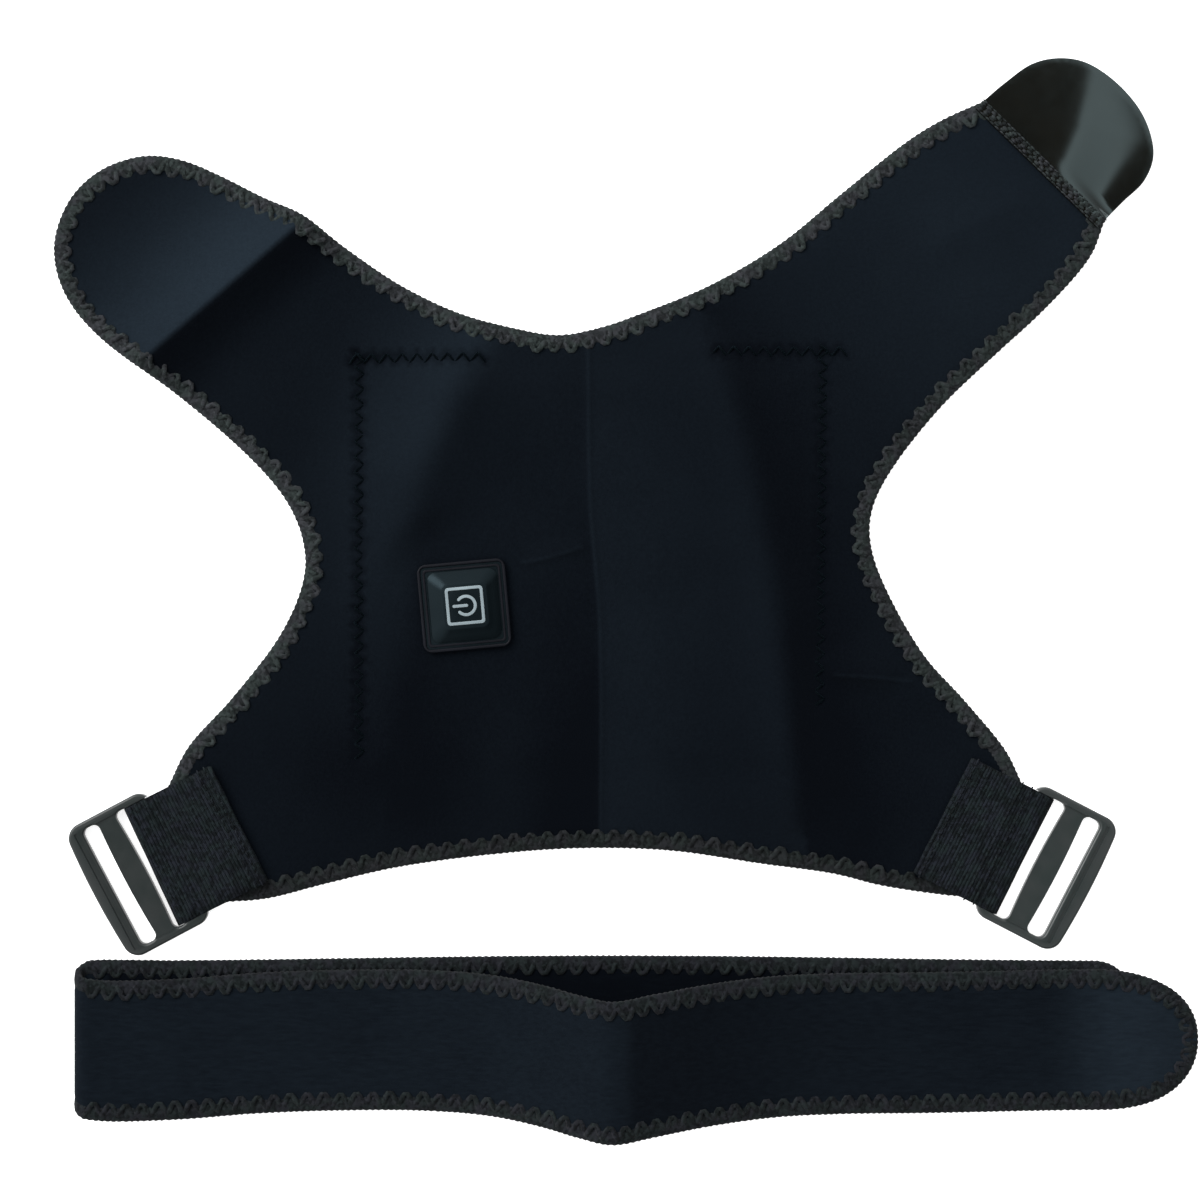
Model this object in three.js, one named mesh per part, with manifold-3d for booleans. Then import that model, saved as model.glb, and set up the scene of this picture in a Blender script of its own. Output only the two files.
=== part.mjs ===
// Shoulder brace with its belt, lying flat: +X to the right, +Y towards the neck, +Z up.
// The origin is on the surface that it rests on, under the middle of the whole.
import * as THREE from "three";
import { mergeVertices } from "three/addons/utils/BufferGeometryUtils.js";
import Module from "manifold-3d";

const wasm = await Module();
wasm.setup();

// Driving sizes in millimetres
const panelWidth = 405; // left flap's tip to the right shoulder's seam
const panelHeight = 309; // lowest corner to the top of the shoulder's seam
const clothThickness = 3;
const pocketRise = 0.8; // what the heating pad adds inside its stitched pocket
const pocketEdge = 14; // width of the slope round the pocket
const foldRise = 6; // the tallest fold, across the left flap
const gap = 0.3; // left between pieces that touch
const bindingWidth = 5.4;
const bindingThickness = 2.6;
const stationStep = 9; // spacing of the points along a cloth edge
const clothStep = 9; // cell of the cloth's surface
const overcut = 1; // how far a cutting solid passes what it cuts
const tabReach = 40.6; // hook tab, measured out from its seam
const tabThickness = 1.2;
const tabLap = 4.8; // the sewn strip that lies on the cloth
const tabLevel = 1; // the tab leaves the cloth level for this far
const tabDrop = 15; // how far out the tab comes down to the surface
const tabCrown = 1.6;
const tabStep = 4.8; // spacing of the tab's points
const webbingThickness = 1.2;
const slideLength = 56;
const slideArm = 3; // wall at each end of the slots
const webbingPlay = 0.75; // between the webbing's edge and the slide's arm
const outerBar = 6;
const wideSlot = 6.4;
const middleBar = 5.5; // at its ends
const middleBulge = 0.9; // what each side of the middle bar gains at its middle
const webSlot = 6.2; // the slot that the webbing passes through
const innerBar = 6;
const innerBarThickness = 2.2;
const slideEar = 1.8; // what the arms reach past the inner bar
const slideCorner = 5;
const slotCorner = 2;
const slideBevel = 0.7;
const leftBarReach = 15.1; // from the cloth's cut edge to the far side of the left slide's inner bar
const rightBarReach = 12.1;
const leftOverlap = 18; // of the webbing on the cloth
const rightOverlap = 22;
const switchSide = 34;
const switchCorner = 2.6;
const switchPlate = 1.6;
const switchRim = 1.3; // width and rise of the rim round the plate
const switchRimRise = 0.5;
const keyFoot = 28.5;
const keyTop = 17.5;
const keyRise = 3.4;
const keyCorner = 2.2;
const keyBevel = 0.4; // round the key's top
const ringSide = 14.5;
const ringLine = 1.35;
const ringCorner = 1.1;
const inlayThickness = 0.4;
const symbolRadius = 3.55; // of the power symbol's arc, at the middle of its line
const symbolLine = 1.35;
const symbolOpening = 84; // degrees that the arc leaves open, on the left
const symbolBar = 6;
const symbolBarOut = 2.2; // from the arc's centre to the bar's middle
const symbolShift = 0.4; // of the arc's centre to the right
const switchTurn = 5.2; // degrees
const switchFlat = 26; // radius in which the cloth lies level under the switch
const beltLength = 433; // the folded belt, from its fold to its tip
const beltWidth = 54;
const beltThickness = 3;
const beltRise = 22; // the front layer stands off the back one by this at its crease
const beltSway = 9; // and slides this far sideways there
const beltStagger = 5; // sideways step between the two layers
const beltTurn = 1.6; // inner radius of the fold
const beltTuck = 22; // how far the back layer ends short of the tip
const beltRounding = 34; // length of the rounding at the belt's tip
const beltEndRounding = 18; // the same at its hidden end
const endSquareness = 2.4; // 2 rounds the ends to an ellipse, more squares them
const endSteps = 7; // points along a quarter of a rounded end
const beltClearance = 0.8; // between the belt and the lowest slide
const beltInset = 8; // how far the belt's fold lies in from the left flap's tip

// Places on the panel are shares of its width and height from its lower left corner.
const onPanel = ([across, up]) => new THREE.Vector2(across * panelWidth, up * panelHeight);

// Cloth edges, followed counter-clockwise from the hook tab's seam.
// Columns: across, up.
const neckPlaces = [
  [0.884, 0.998],
  [0.842, 0.973],
  [0.804, 0.941],
  [0.747, 0.881],
  [0.69, 0.82],
  [0.624, 0.769],
  [0.557, 0.733],
  [0.519, 0.716],
  [0.481, 0.707],
  [0.443, 0.714],
  [0.386, 0.734],
  [0.33, 0.769],
  [0.277, 0.816],
  [0.239, 0.854],
  [0.201, 0.877],
  [0.159, 0.905],
  [0.121, 0.925],
  [0.083, 0.929],
  [0.043, 0.91],
  [0.014, 0.871],
  [0.001, 0.815],
  [0.012, 0.756],
  [0.047, 0.701],
  [0.116, 0.634],
  [0.178, 0.565],
  [0.218, 0.507],
  [0.237, 0.452],
  [0.237, 0.398],
  [0.214, 0.33],
  [0.17, 0.255],
  [0.13, 0.197],
  [0.109, 0.144],
];
const hemPlaces = [
  [0.164, 0.001],
  [0.206, 0.006],
  [0.263, 0.025],
  [0.33, 0.045],
  [0.415, 0.06],
  [0.5, 0.068],
  [0.586, 0.065],
  [0.671, 0.049],
  [0.738, 0.037],
  [0.785, 0.022],
  [0.833, 0.012],
  [0.867, 0.007],
];
const underarmPlaces = [
  [0.921, 0.146],
  [0.903, 0.193],
  [0.865, 0.253],
  [0.828, 0.307],
  [0.797, 0.375],
  [0.778, 0.437],
  [0.778, 0.489],
  [0.799, 0.544],
  [0.842, 0.615],
  [0.89, 0.676],
  [0.942, 0.739],
  [0.983, 0.8],
  [0.999, 0.85],
];

// Folds of the cloth: a row for each crest, from start to end.
// Columns: start, end, rise as a share of foldRise, half width as a share of panelWidth.
const folds = [
  { start: [0.09, 0.67], end: [0.237, 0.84], rise: 1, reach: 0.062 }, // left flap's ridge
  { start: [0.405, 0.63], end: [0.339, 0.4], rise: 0.5, reach: 0.09 }, // left of the middle
  { start: [0.51, 0.64], end: [0.52, 0.14], rise: 0.28, reach: 0.045 }, // centre crease
  { start: [0.63, 0.64], end: [0.7, 0.16], rise: 0.5, reach: 0.085 }, // right of the middle
  { start: [0.76, 0.28], end: [0.73, 0.275], rise: 0.3, reach: 0.04 }, // wrinkle, right underarm
  { start: [0.27, 0.375], end: [0.29, 0.37], rise: 0.25, reach: 0.04 }, // wrinkle, left underarm
  { start: [0.85, 0.83], end: [0.93, 0.88], rise: 0.3, reach: 0.06 }, // right flap
];
const foldFade = 16; // the folds die out over this distance from a bound edge, except the flap's ridge
const pocketLow = [0.288, 0.15];
const pocketHigh = [0.728, 0.676];
const switchPlace = [0.391, 0.37];

// Hook tab's outline: share of the seam's length, share of tabReach
const tabPlaces = [
  [0, 0],
  [0.014, 0.247],
  [0.049, 0.555],
  [0.146, 0.789],
  [0.293, 0.941],
  [0.514, 1],
  [0.738, 0.955],
  [0.925, 0.785],
  [1.003, 0.536],
  [1.001, 0.254],
  [1, 0],
];

// Belt's front layer, a row for each section from the fold to the tip
// Columns: along as a share of beltLength, lift of beltRise, sway of beltSway.
const beltSections = [
  { along: 0.03, lift: 0.1, sway: -0.1 },
  { along: 0.1, lift: 0.02, sway: -0.15 },
  { along: 0.22, lift: 0, sway: 0 },
  { along: 0.31, lift: 0.03, sway: 0 },
  { along: 0.37, lift: 0.2, sway: 0.14 },
  { along: 0.415, lift: 0.5, sway: 0.45 },
  { along: 0.45, lift: 0.8, sway: 0.8 },
  { along: 0.478, lift: 1, sway: 1 },
  { along: 0.515, lift: 0.82, sway: 0.76 },
  { along: 0.56, lift: 0.52, sway: 0.46 },
  { along: 0.62, lift: 0.22, sway: 0.17 },
  { along: 0.68, lift: 0.04, sway: 0.05 },
  { along: 0.76, lift: 0, sway: 0 },
  { along: 0.9, lift: 0, sway: 0 },
];

// Finishes
const finish = (color, roughness, metalness = 0) =>
  new THREE.MeshStandardMaterial({ color, roughness, metalness });
const clothFinish = finish(0x141a20, 0.9);
const bindingFinish = finish(0x2a2f2d, 0.95);
const webbingFinish = finish(0x262b29, 0.95);
const slideFinish = finish(0x2b2e2f, 0.45);
const tabFinish = finish(0x15130f, 0.15);
const switchFinish = finish(0x242a2f, 0.5);
const inlayFinish = finish(0xa4b2bc, 0.35, 0.4);

// Evenly spaced shares from 0 up to but not including 1
const steps = (count) => Array.from({ length: count }, (_, i) => i / count);

// Mesh and solid helpers
const meshOf = (name, geometry, material) => {
  const mesh = new THREE.Mesh(geometry, material);
  mesh.name = name;
  return mesh;
};

const solidOf = (geometry) => {
  const bare = geometry.clone();
  bare.deleteAttribute("normal");
  bare.deleteAttribute("uv");
  const merged = mergeVertices(bare, 1e-4);
  return new wasm.Manifold(
    new wasm.Mesh({
      numProp: 3,
      vertProperties: merged.attributes.position.array,
      triVerts: new Uint32Array(merged.index.array),
    }),
  );
};

const geometryOf = (solid) => {
  const { vertProperties, triVerts } = solid.getMesh();
  const geometry = new THREE.BufferGeometry();
  geometry.setAttribute("position", new THREE.BufferAttribute(vertProperties, 3));
  geometry.setIndex(new THREE.BufferAttribute(triVerts, 1));
  geometry.computeVertexNormals();
  return geometry;
};

const prism = (points, low, high) => {
  const geometry = new THREE.ExtrudeGeometry(new THREE.Shape(points), {
    depth: high - low,
    bevelEnabled: false,
  });
  return geometry.translate(0, 0, low);
};

// A closed geometry from rings of vertices, one ring for each section, capped at both ends unless it closes.
const skin = (rings, closed = false) => {
  const count = rings[0].length;
  const faces = [];
  const last = closed ? rings.length : rings.length - 1;
  for (let i = 0; i < last; i++) {
    const here = i * count;
    const next = ((i + 1) % rings.length) * count;
    for (let j = 0; j < count; j++) {
      const k = (j + 1) % count;
      faces.push(here + j, next + k, next + j, here + j, here + k, next + k);
    }
  }
  if (!closed) {
    const end = (rings.length - 1) * count;
    for (let j = 1; j < count - 1; j++) {
      faces.push(0, j + 1, j, end, end + j, end + j + 1);
    }
  }
  const geometry = new THREE.BufferGeometry();
  geometry.setAttribute("position", new THREE.Float32BufferAttribute(rings.flat(2), 3));
  geometry.setIndex(faces);
  geometry.computeVertexNormals();
  return geometry;
};

// A sheet over a rectangle, between two height functions, in cells of about one step.
const sheet = (low, high, step, bottom, top) => {
  const size = new THREE.Vector2().subVectors(high, low);
  const columns = Math.ceil(size.x / step);
  const rows = Math.ceil(size.y / step);
  const positions = [];
  const faces = [];
  const layer = (columns + 1) * (rows + 1);
  for (const height of [bottom, top]) {
    for (let r = 0; r <= rows; r++) {
      for (let c = 0; c <= columns; c++) {
        const x = low.x + (size.x * c) / columns;
        const y = low.y + (size.y * r) / rows;
        positions.push(x, y, height(x, y));
      }
    }
  }
  const at = (c, r) => r * (columns + 1) + c;
  for (let r = 0; r < rows; r++) {
    for (let c = 0; c < columns; c++) {
      const [a, b, d, e] = [at(c, r), at(c + 1, r), at(c + 1, r + 1), at(c, r + 1)];
      faces.push(a, d, b, a, e, d);
      faces.push(layer + a, layer + b, layer + d, layer + a, layer + d, layer + e);
    }
  }
  const wall = (from, to) => faces.push(from, to, layer + to, from, layer + to, layer + from);
  for (let c = 0; c < columns; c++) {
    wall(at(c, 0), at(c + 1, 0));
    wall(at(c + 1, rows), at(c, rows));
  }
  for (let r = 0; r < rows; r++) {
    wall(at(columns, r), at(columns, r + 1));
    wall(at(0, r + 1), at(0, r));
  }
  const geometry = new THREE.BufferGeometry();
  geometry.setAttribute("position", new THREE.Float32BufferAttribute(positions, 3));
  geometry.setIndex(faces);
  return geometry;
};

// Cloth edges as evenly spaced points, and the same points moved into the cloth
const edgeOf = (places) => {
  const curve = new THREE.SplineCurve(places.map(onPanel));
  return curve.getSpacedPoints(Math.round(curve.getLength() / stationStep));
};

const inset = (points, distance, closed = false) =>
  points.map((point, i) => {
    const before = closed ? points.at(i - 1) : points[Math.max(i - 1, 0)];
    const after = closed ? points[(i + 1) % points.length] : points[Math.min(i + 1, points.length - 1)];
    const along = new THREE.Vector2().subVectors(after, before).normalize();
    return new THREE.Vector2(point.x - along.y * distance, point.y + along.x * distance);
  });

const neckEdge = edgeOf(neckPlaces);
const hemEdge = edgeOf(hemPlaces);
const underarmEdge = edgeOf(underarmPlaces);
const boundEdges = [neckEdge, hemEdge, underarmEdge];
const seamStart = neckEdge[0]; // the hook tab is sewn on from here
const seamEnd = underarmEdge.at(-1);

// Height of the cloth's underside over the surface that it lies on
const crestDistance = (point, { start, end }) => {
  const [a, b] = [onPanel(start), onPanel(end)];
  const span = new THREE.Vector2().subVectors(b, a);
  const share = new THREE.Vector2().subVectors(point, a).dot(span) / span.lengthSq();
  return point.distanceTo(a.addScaledVector(span, THREE.MathUtils.clamp(share, 0, 1)));
};

const edgeStations = [
  ...boundEdges.flat(),
  ...steps(5).map((share) => seamStart.clone().lerp(seamEnd, share)),
];
const nearestEdge = (point) => Math.min(...edgeStations.map((station) => station.distanceTo(point)));

const switchCentre = onPanel(switchPlace);
const liftAt = (x, y) => {
  const point = new THREE.Vector2(x, y);
  const [ridge, ...others] = folds.map((fold) => {
    const share = Math.min(crestDistance(point, fold) / (fold.reach * panelWidth), 1);
    return foldRise * fold.rise * 0.5 * (1 + Math.cos(Math.PI * share));
  });
  const tallest = Math.max(...others);
  if (tallest === 0) return ridge;
  const clearOfEdge = THREE.MathUtils.smoothstep(nearestEdge(point), bindingWidth, bindingWidth + foldFade);
  const clearOfSwitch = THREE.MathUtils.smoothstep(
    point.distanceTo(switchCentre),
    switchFlat,
    2 * switchFlat,
  );
  return Math.max(ridge, tallest * clearOfEdge * clearOfSwitch);
};

const pocketAt = (x, y) => {
  const [low, high] = [onPanel(pocketLow), onPanel(pocketHigh)];
  const depth = Math.min(x - low.x, high.x - x, y - low.y, high.y - y);
  return pocketRise * THREE.MathUtils.smoothstep(depth, 0, pocketEdge);
};
const clothTopAt = (x, y) => liftAt(x, y) + clothThickness + pocketAt(x, y);

// Back panel
const panelOutline = boundEdges.flatMap((edge) => inset(edge, bindingWidth + gap));
const backPanel = solidOf(
  sheet(new THREE.Vector2(0, 0), new THREE.Vector2(panelWidth, panelHeight), clothStep, liftAt, clothTopAt),
).intersect(solidOf(prism(panelOutline, -overcut, foldRise + 2 * clothThickness)));

// Edge binding: a stitched rim of one section, swept along a bound edge
// Columns: inset as a share of bindingWidth, height as a share of bindingThickness.
const bindingSection = [
  [0, 0.3],
  [0.15, 0],
  [1, 0],
  [1, 1],
  [0.15, 1],
  [0, 0.7],
];
const bindingGeometry = (edge) => {
  const lines = bindingSection.map(([share]) => inset(edge, share * bindingWidth));
  const under = (clothThickness - bindingThickness) / 2;
  return skin(
    edge.map((_, i) =>
      bindingSection.map(([, height], j) => {
        const { x, y } = lines[j][i];
        return [x, y, liftAt(x, y) + under + height * bindingThickness];
      }),
    ),
  );
};

// Hook tab: in its own frame, x runs along the seam and y out from it
const seamLength = seamStart.distanceTo(seamEnd);
const tabCurve = new THREE.SplineCurve(
  tabPlaces.map(([along, out]) => new THREE.Vector2(along * seamLength, out * tabReach)),
);
const tabOutline = [
  ...tabCurve.getSpacedPoints(Math.round(tabCurve.getLength() / tabStep)),
  new THREE.Vector2(seamLength, -tabLap),
  new THREE.Vector2(0, -tabLap),
];
const tabUnderside = (x, y) => {
  const fromCloth = THREE.MathUtils.smoothstep(y, tabLevel, tabDrop);
  const crown = tabCrown * Math.sin(Math.PI * THREE.MathUtils.clamp(x / seamLength, 0, 1));
  return (clothThickness + gap) * (1 - fromCloth) + crown * fromCloth;
};
const tabSolid = solidOf(
  sheet(
    new THREE.Vector2(-tabLap, -2 * tabLap),
    new THREE.Vector2(seamLength + tabLap, tabReach + tabLap),
    tabStep,
    tabUnderside,
    (x, y) => tabUnderside(x, y) + tabThickness,
  ),
).intersect(solidOf(prism(tabOutline, -overcut, 3 * clothThickness)));

// Slide: x runs out from the webbing's loop, y along the bars
const slideThickness = innerBarThickness + 2 * (webbingThickness + gap);
const barOuter = 0; // the inner bar's far side
const webSlotEnd = barOuter + webSlot;
const middleEnd = webSlotEnd + middleBar;
const wideSlotEnd = middleEnd + wideSlot;
const slideOuter = wideSlotEnd + outerBar;
const slideInner = barOuter - innerBar - slideEar;
const slotHalf = slideLength / 2 - slideArm;
const webbingWidth = 2 * (slotHalf - webbingPlay);

const roundedBox = (low, high, corner) => {
  const shape = new THREE.Shape();
  shape.moveTo(low.x + corner, low.y);
  shape.lineTo(high.x - corner, low.y);
  shape.absarc(high.x - corner, low.y + corner, corner, -Math.PI / 2, 0);
  shape.lineTo(high.x, high.y - corner);
  shape.absarc(high.x - corner, high.y - corner, corner, 0, Math.PI / 2);
  shape.lineTo(low.x + corner, high.y);
  shape.absarc(low.x + corner, high.y - corner, corner, Math.PI / 2, Math.PI);
  shape.lineTo(low.x, low.y + corner);
  shape.absarc(low.x + corner, low.y + corner, corner, Math.PI, 1.5 * Math.PI);
  return shape;
};

// A slot between two bars; the side next to the middle bar gives way to its bulge.
const slot = (low, high, lowBulge, highBulge) => {
  const corner = slotCorner;
  const path = new THREE.Path();
  path.moveTo(low + corner, -slotHalf);
  path.lineTo(high - corner, -slotHalf);
  path.quadraticCurveTo(high, -slotHalf, high, -slotHalf + corner);
  path.quadraticCurveTo(high - 2 * highBulge, 0, high, slotHalf - corner);
  path.quadraticCurveTo(high, slotHalf, high - corner, slotHalf);
  path.lineTo(low + corner, slotHalf);
  path.quadraticCurveTo(low, slotHalf, low, slotHalf - corner);
  path.quadraticCurveTo(low + 2 * lowBulge, 0, low, -slotHalf + corner);
  path.quadraticCurveTo(low, -slotHalf, low + corner, -slotHalf);
  return path;
};

const slideGeometry = () => {
  const plan = roundedBox(
    new THREE.Vector2(slideInner, -slideLength / 2),
    new THREE.Vector2(slideOuter, slideLength / 2),
    slideCorner - slideBevel,
  );
  plan.holes.push(
    slot(barOuter, webSlotEnd, 0, middleBulge),
    slot(middleEnd, wideSlotEnd, middleBulge, 0),
  );
  const frame = new THREE.ExtrudeGeometry(plan, {
    depth: slideThickness - 2 * slideBevel,
    bevelThickness: slideBevel,
    bevelSize: slideBevel,
    bevelOffset: -slideBevel,
    bevelSegments: 1,
    curveSegments: 5,
  }).translate(0, 0, slideBevel);
  const barLow = webbingThickness + gap;
  const cutter = (inner, outer, low, high) =>
    solidOf(
      new THREE.BoxGeometry(outer - inner, 2 * slotHalf, high - low).translate(
        (inner + outer) / 2,
        0,
        (low + high) / 2,
      ),
    );
  const ears = slideInner - overcut;
  const cut = solidOf(frame)
    .subtract(cutter(ears, barOuter + overcut, -overcut, barLow))
    .subtract(cutter(ears, barOuter + overcut, barLow + innerBarThickness, slideThickness + overcut))
    .subtract(cutter(ears, slideInner + slideEar, -overcut, slideThickness + overcut));
  return geometryOf(cut);
};

// Webbing: a strip folded round the slide's inner bar, both ends sewn on top of the cloth
// In its frame x runs out from the cloth's cut edge, y up, and z across the strip.
const loopRadius = innerBarThickness / 2 + gap + webbingThickness / 2;
const webbingLine = (barReach, overlap) => {
  const barMiddle = webbingThickness + gap + innerBarThickness / 2;
  const lower = clothThickness + gap + webbingThickness / 2;
  const upper = lower + gap + webbingThickness;
  const ease = (from, to, low, high) =>
    [...steps(4), 1].map(
      (share) =>
        new THREE.Vector2(
          THREE.MathUtils.lerp(from, to, share),
          THREE.MathUtils.lerp(low, high, THREE.MathUtils.smoothstep(share, 0, 1)),
        ),
    );
  const barNear = barReach - innerBar;
  const turn = steps(8).map((share) => {
    const angle = Math.PI * (0.5 - share);
    return new THREE.Vector2(
      barReach + loopRadius * Math.cos(angle),
      barMiddle + loopRadius * Math.sin(angle),
    );
  });
  return [
    new THREE.Vector2(-overlap, upper),
    ...ease(gap, barNear - gap, upper, barMiddle + loopRadius),
    ...turn,
    new THREE.Vector2(barReach, barMiddle - loopRadius),
    ...ease(barNear - gap, gap, barMiddle - loopRadius, lower),
    new THREE.Vector2(-overlap, lower),
  ];
};

const webbingGeometry = (barReach, overlap) => {
  const line = webbingLine(barReach, overlap);
  const half = webbingThickness / 2;
  const outline = [...inset(line, half), ...inset(line, -half).reverse()];
  const geometry = prism(outline, -webbingWidth / 2, webbingWidth / 2);
  return geometry.rotateX(Math.PI / 2);
};

// Each lower corner: its cut cloth edge carries the webbing and the slide.
const corners = [
  {
    side: "left",
    from: neckEdge.at(-1),
    to: hemEdge[0],
    barReach: leftBarReach,
    overlap: leftOverlap,
  },
  {
    side: "right",
    from: hemEdge.at(-1),
    to: underarmEdge[0],
    barReach: rightBarReach,
    overlap: rightOverlap,
  },
];

const cornerGroup = ({ side, from, to, barReach, overlap }) => {
  const group = new THREE.Group();
  const along = new THREE.Vector2().subVectors(to, from);
  group.position.set((from.x + to.x) / 2, (from.y + to.y) / 2, 0);
  group.rotation.z = Math.atan2(-along.x, along.y);
  const slide = meshOf("slide_" + side, slideGeometry(), slideFinish);
  slide.position.x = barReach;
  group.add(slide, meshOf("webbing_" + side, webbingGeometry(barReach, overlap), webbingFinish));
  return group;
};

// Switch: a rimmed plate, a sloping key, and the key's inlaid ring and power symbol
const square = (side, corner) => {
  const half = new THREE.Vector2(side / 2, side / 2);
  return roundedBox(half.clone().negate(), half, corner);
};

const frameShape = (side, line, corner) => {
  const shape = square(side, corner);
  shape.holes.push(new THREE.Path(square(side - 2 * line, corner / 2).getPoints(3)));
  return shape;
};

const extrude = (shape, depth, segments = 3) =>
  new THREE.ExtrudeGeometry(shape, { depth, bevelEnabled: false, curveSegments: segments });

const switchBase = () => {
  const rim = extrude(frameShape(switchSide, switchRim, switchCorner), switchPlate + switchRimRise);
  return geometryOf(solidOf(extrude(square(switchSide, switchCorner), switchPlate)).add(solidOf(rim)));
};

const keyGeometry = () => {
  const ringAt = (side, z) =>
    square(side, keyCorner)
      .getPoints(3)
      .slice(0, -1)
      .map(({ x, y }) => [x, y, z]);
  return skin([
    ringAt(keyFoot, 0),
    ringAt(keyTop + 2 * keyBevel, keyRise - keyBevel),
    ringAt(keyTop, keyRise),
  ]);
};

const powerArc = () => {
  const opening = THREE.MathUtils.degToRad(symbolOpening / 2);
  const [start, end] = [Math.PI + opening, 3 * Math.PI - opening];
  const arc = new THREE.Shape();
  arc.absarc(0, 0, symbolRadius + symbolLine / 2, start, end);
  arc.absarc(0, 0, symbolRadius - symbolLine / 2, end, start, true);
  return extrude(arc, inlayThickness, 12).translate(symbolShift, 0, 0);
};

const powerBar = () => {
  const half = new THREE.Vector2(symbolBar / 2, symbolLine / 2);
  const bar = extrude(roundedBox(half.clone().negate(), half, symbolLine / 2), inlayThickness);
  return bar.translate(symbolShift - symbolBarOut, 0, 0);
};

const switchGroup = new THREE.Group();
switchGroup.position.set(switchCentre.x, switchCentre.y, clothTopAt(switchCentre.x, switchCentre.y) + gap);
switchGroup.rotation.z = THREE.MathUtils.degToRad(switchTurn);
const key = meshOf("switch_key", keyGeometry(), switchFinish);
key.position.z = switchPlate + gap;
const inlays = new THREE.Group();
inlays.position.z = key.position.z + keyRise + gap;
inlays.add(
  meshOf("key_ring", extrude(frameShape(ringSide, ringLine, ringCorner), inlayThickness), inlayFinish),
  meshOf("power_arc", powerArc(), inlayFinish),
  meshOf("power_bar", powerBar(), inlayFinish),
);
switchGroup.add(meshOf("switch_base", switchBase(), switchFinish), key, inlays);

// Belt: in its frame x runs from the fold to the tip, y across and z up.
// Its centre line runs from the back layer's end, round the fold and along the front layer to the tip.
const layerHalf = beltThickness / 2;
const foldRadius = beltTurn + layerHalf;
const foldMiddle = foldRadius + layerHalf;
const backEnd = beltLength - beltTuck;
const frontRest = 3 * layerHalf + gap; // the front layer's middle, where it lies on the back layer
const backSteps = 12;
const foldSteps = 12;
const frontSteps = 31;

const beltCurve = new THREE.CatmullRomCurve3(
  [
    ...steps(backSteps).map(
      (share) => new THREE.Vector3(THREE.MathUtils.lerp(backEnd, foldMiddle, share), 0, layerHalf),
    ),
    ...steps(foldSteps).map((share) => {
      const angle = Math.PI * (1.5 - share);
      return new THREE.Vector3(
        foldMiddle + foldRadius * Math.cos(angle),
        -beltStagger * share,
        layerHalf + foldRadius * (1 + Math.sin(angle)),
      );
    }),
    ...beltSections.map(
      ({ along, lift, sway }) =>
        new THREE.Vector3(
          along * beltLength,
          -beltStagger - sway * beltSway,
          frontRest + lift * beltRise,
        ),
    ),
    new THREE.Vector3(backEnd + bindingWidth, -beltStagger, frontRest),
    new THREE.Vector3(beltLength, -beltStagger, layerHalf + gap),
  ],
  false,
  "centripetal",
);
beltCurve.arcLengthDivisions = 2000;

// A place on the belt: along it from the back layer's end, across it, and height above its middle
const beltRun = beltCurve.getLength();
const beltPlace = ({ x: along, y: across }, height) => {
  const share = THREE.MathUtils.clamp(along / beltRun, 0, 1);
  const point = beltCurve.getPointAt(share);
  const tangent = beltCurve.getTangentAt(share).setY(0).normalize();
  return [point.x - tangent.z * height, point.y + across, point.z + tangent.x * height];
};

// The belt as it was cut: its lower long edge, rounded at both ends, and the mirror image of that
const roundedEnd = (rounding) =>
  steps(endSteps).map((share) => {
    const angle = (share + 0.5 / endSteps) * (Math.PI / 2);
    return new THREE.Vector2(
      rounding * (1 - Math.cos(angle) ** (2 / endSquareness)),
      (-beltWidth / 2) * Math.sin(angle) ** (2 / endSquareness),
    );
  });
const straight = (from, to, count) =>
  steps(count).map((share) => new THREE.Vector2(THREE.MathUtils.lerp(from, to, share), -beltWidth / 2));
const foldStart = backEnd - foldMiddle;
const foldEnd = foldStart + Math.PI * foldRadius;
const lowerEdge = [
  ...roundedEnd(beltEndRounding),
  ...straight(beltEndRounding, foldStart, backSteps),
  ...straight(foldStart, foldEnd, foldSteps),
  ...straight(foldEnd, beltRun - beltRounding, frontSteps),
  ...roundedEnd(beltRounding)
    .reverse()
    .map(({ x, y }) => new THREE.Vector2(beltRun - x, y)),
];
const upperEdge = lowerEdge.map(({ x, y }) => new THREE.Vector2(x, -y)).reverse();
const beltEdge = [...lowerEdge, ...upperEdge];

const beltStrap = skin(
  inset(beltEdge, bindingWidth + gap, true)
    .slice(0, lowerEdge.length)
    .map((lower) => {
      const upper = new THREE.Vector2(lower.x, -lower.y);
      return [
        beltPlace(lower, -layerHalf),
        beltPlace(upper, -layerHalf),
        beltPlace(upper, layerHalf),
        beltPlace(lower, layerHalf),
      ];
    }),
);

const rimLines = bindingSection.map(([share]) => inset(beltEdge, share * bindingWidth, true));
const beltRim = skin(
  beltEdge.map((_, i) =>
    bindingSection.map(([, height], j) => beltPlace(rimLines[j][i], (height - 0.5) * bindingThickness)),
  ),
  true,
);

// The brace, the belt below it, and the whole on its origin
const brace = new THREE.Group();
const tabGroup = new THREE.Group();
tabGroup.position.set(seamStart.x, seamStart.y, 0);
tabGroup.rotation.z = Math.atan2(seamEnd.y - seamStart.y, seamEnd.x - seamStart.x);
tabGroup.add(meshOf("hook_tab", geometryOf(tabSolid), tabFinish));
brace.add(
  meshOf("back_panel", geometryOf(backPanel), clothFinish),
  meshOf("edge_binding_neck", bindingGeometry(neckEdge), bindingFinish),
  meshOf("edge_binding_hem", bindingGeometry(hemEdge), bindingFinish),
  meshOf("edge_binding_underarm", bindingGeometry(underarmEdge), bindingFinish),
  tabGroup,
  switchGroup,
  ...corners.map(cornerGroup),
);

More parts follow.
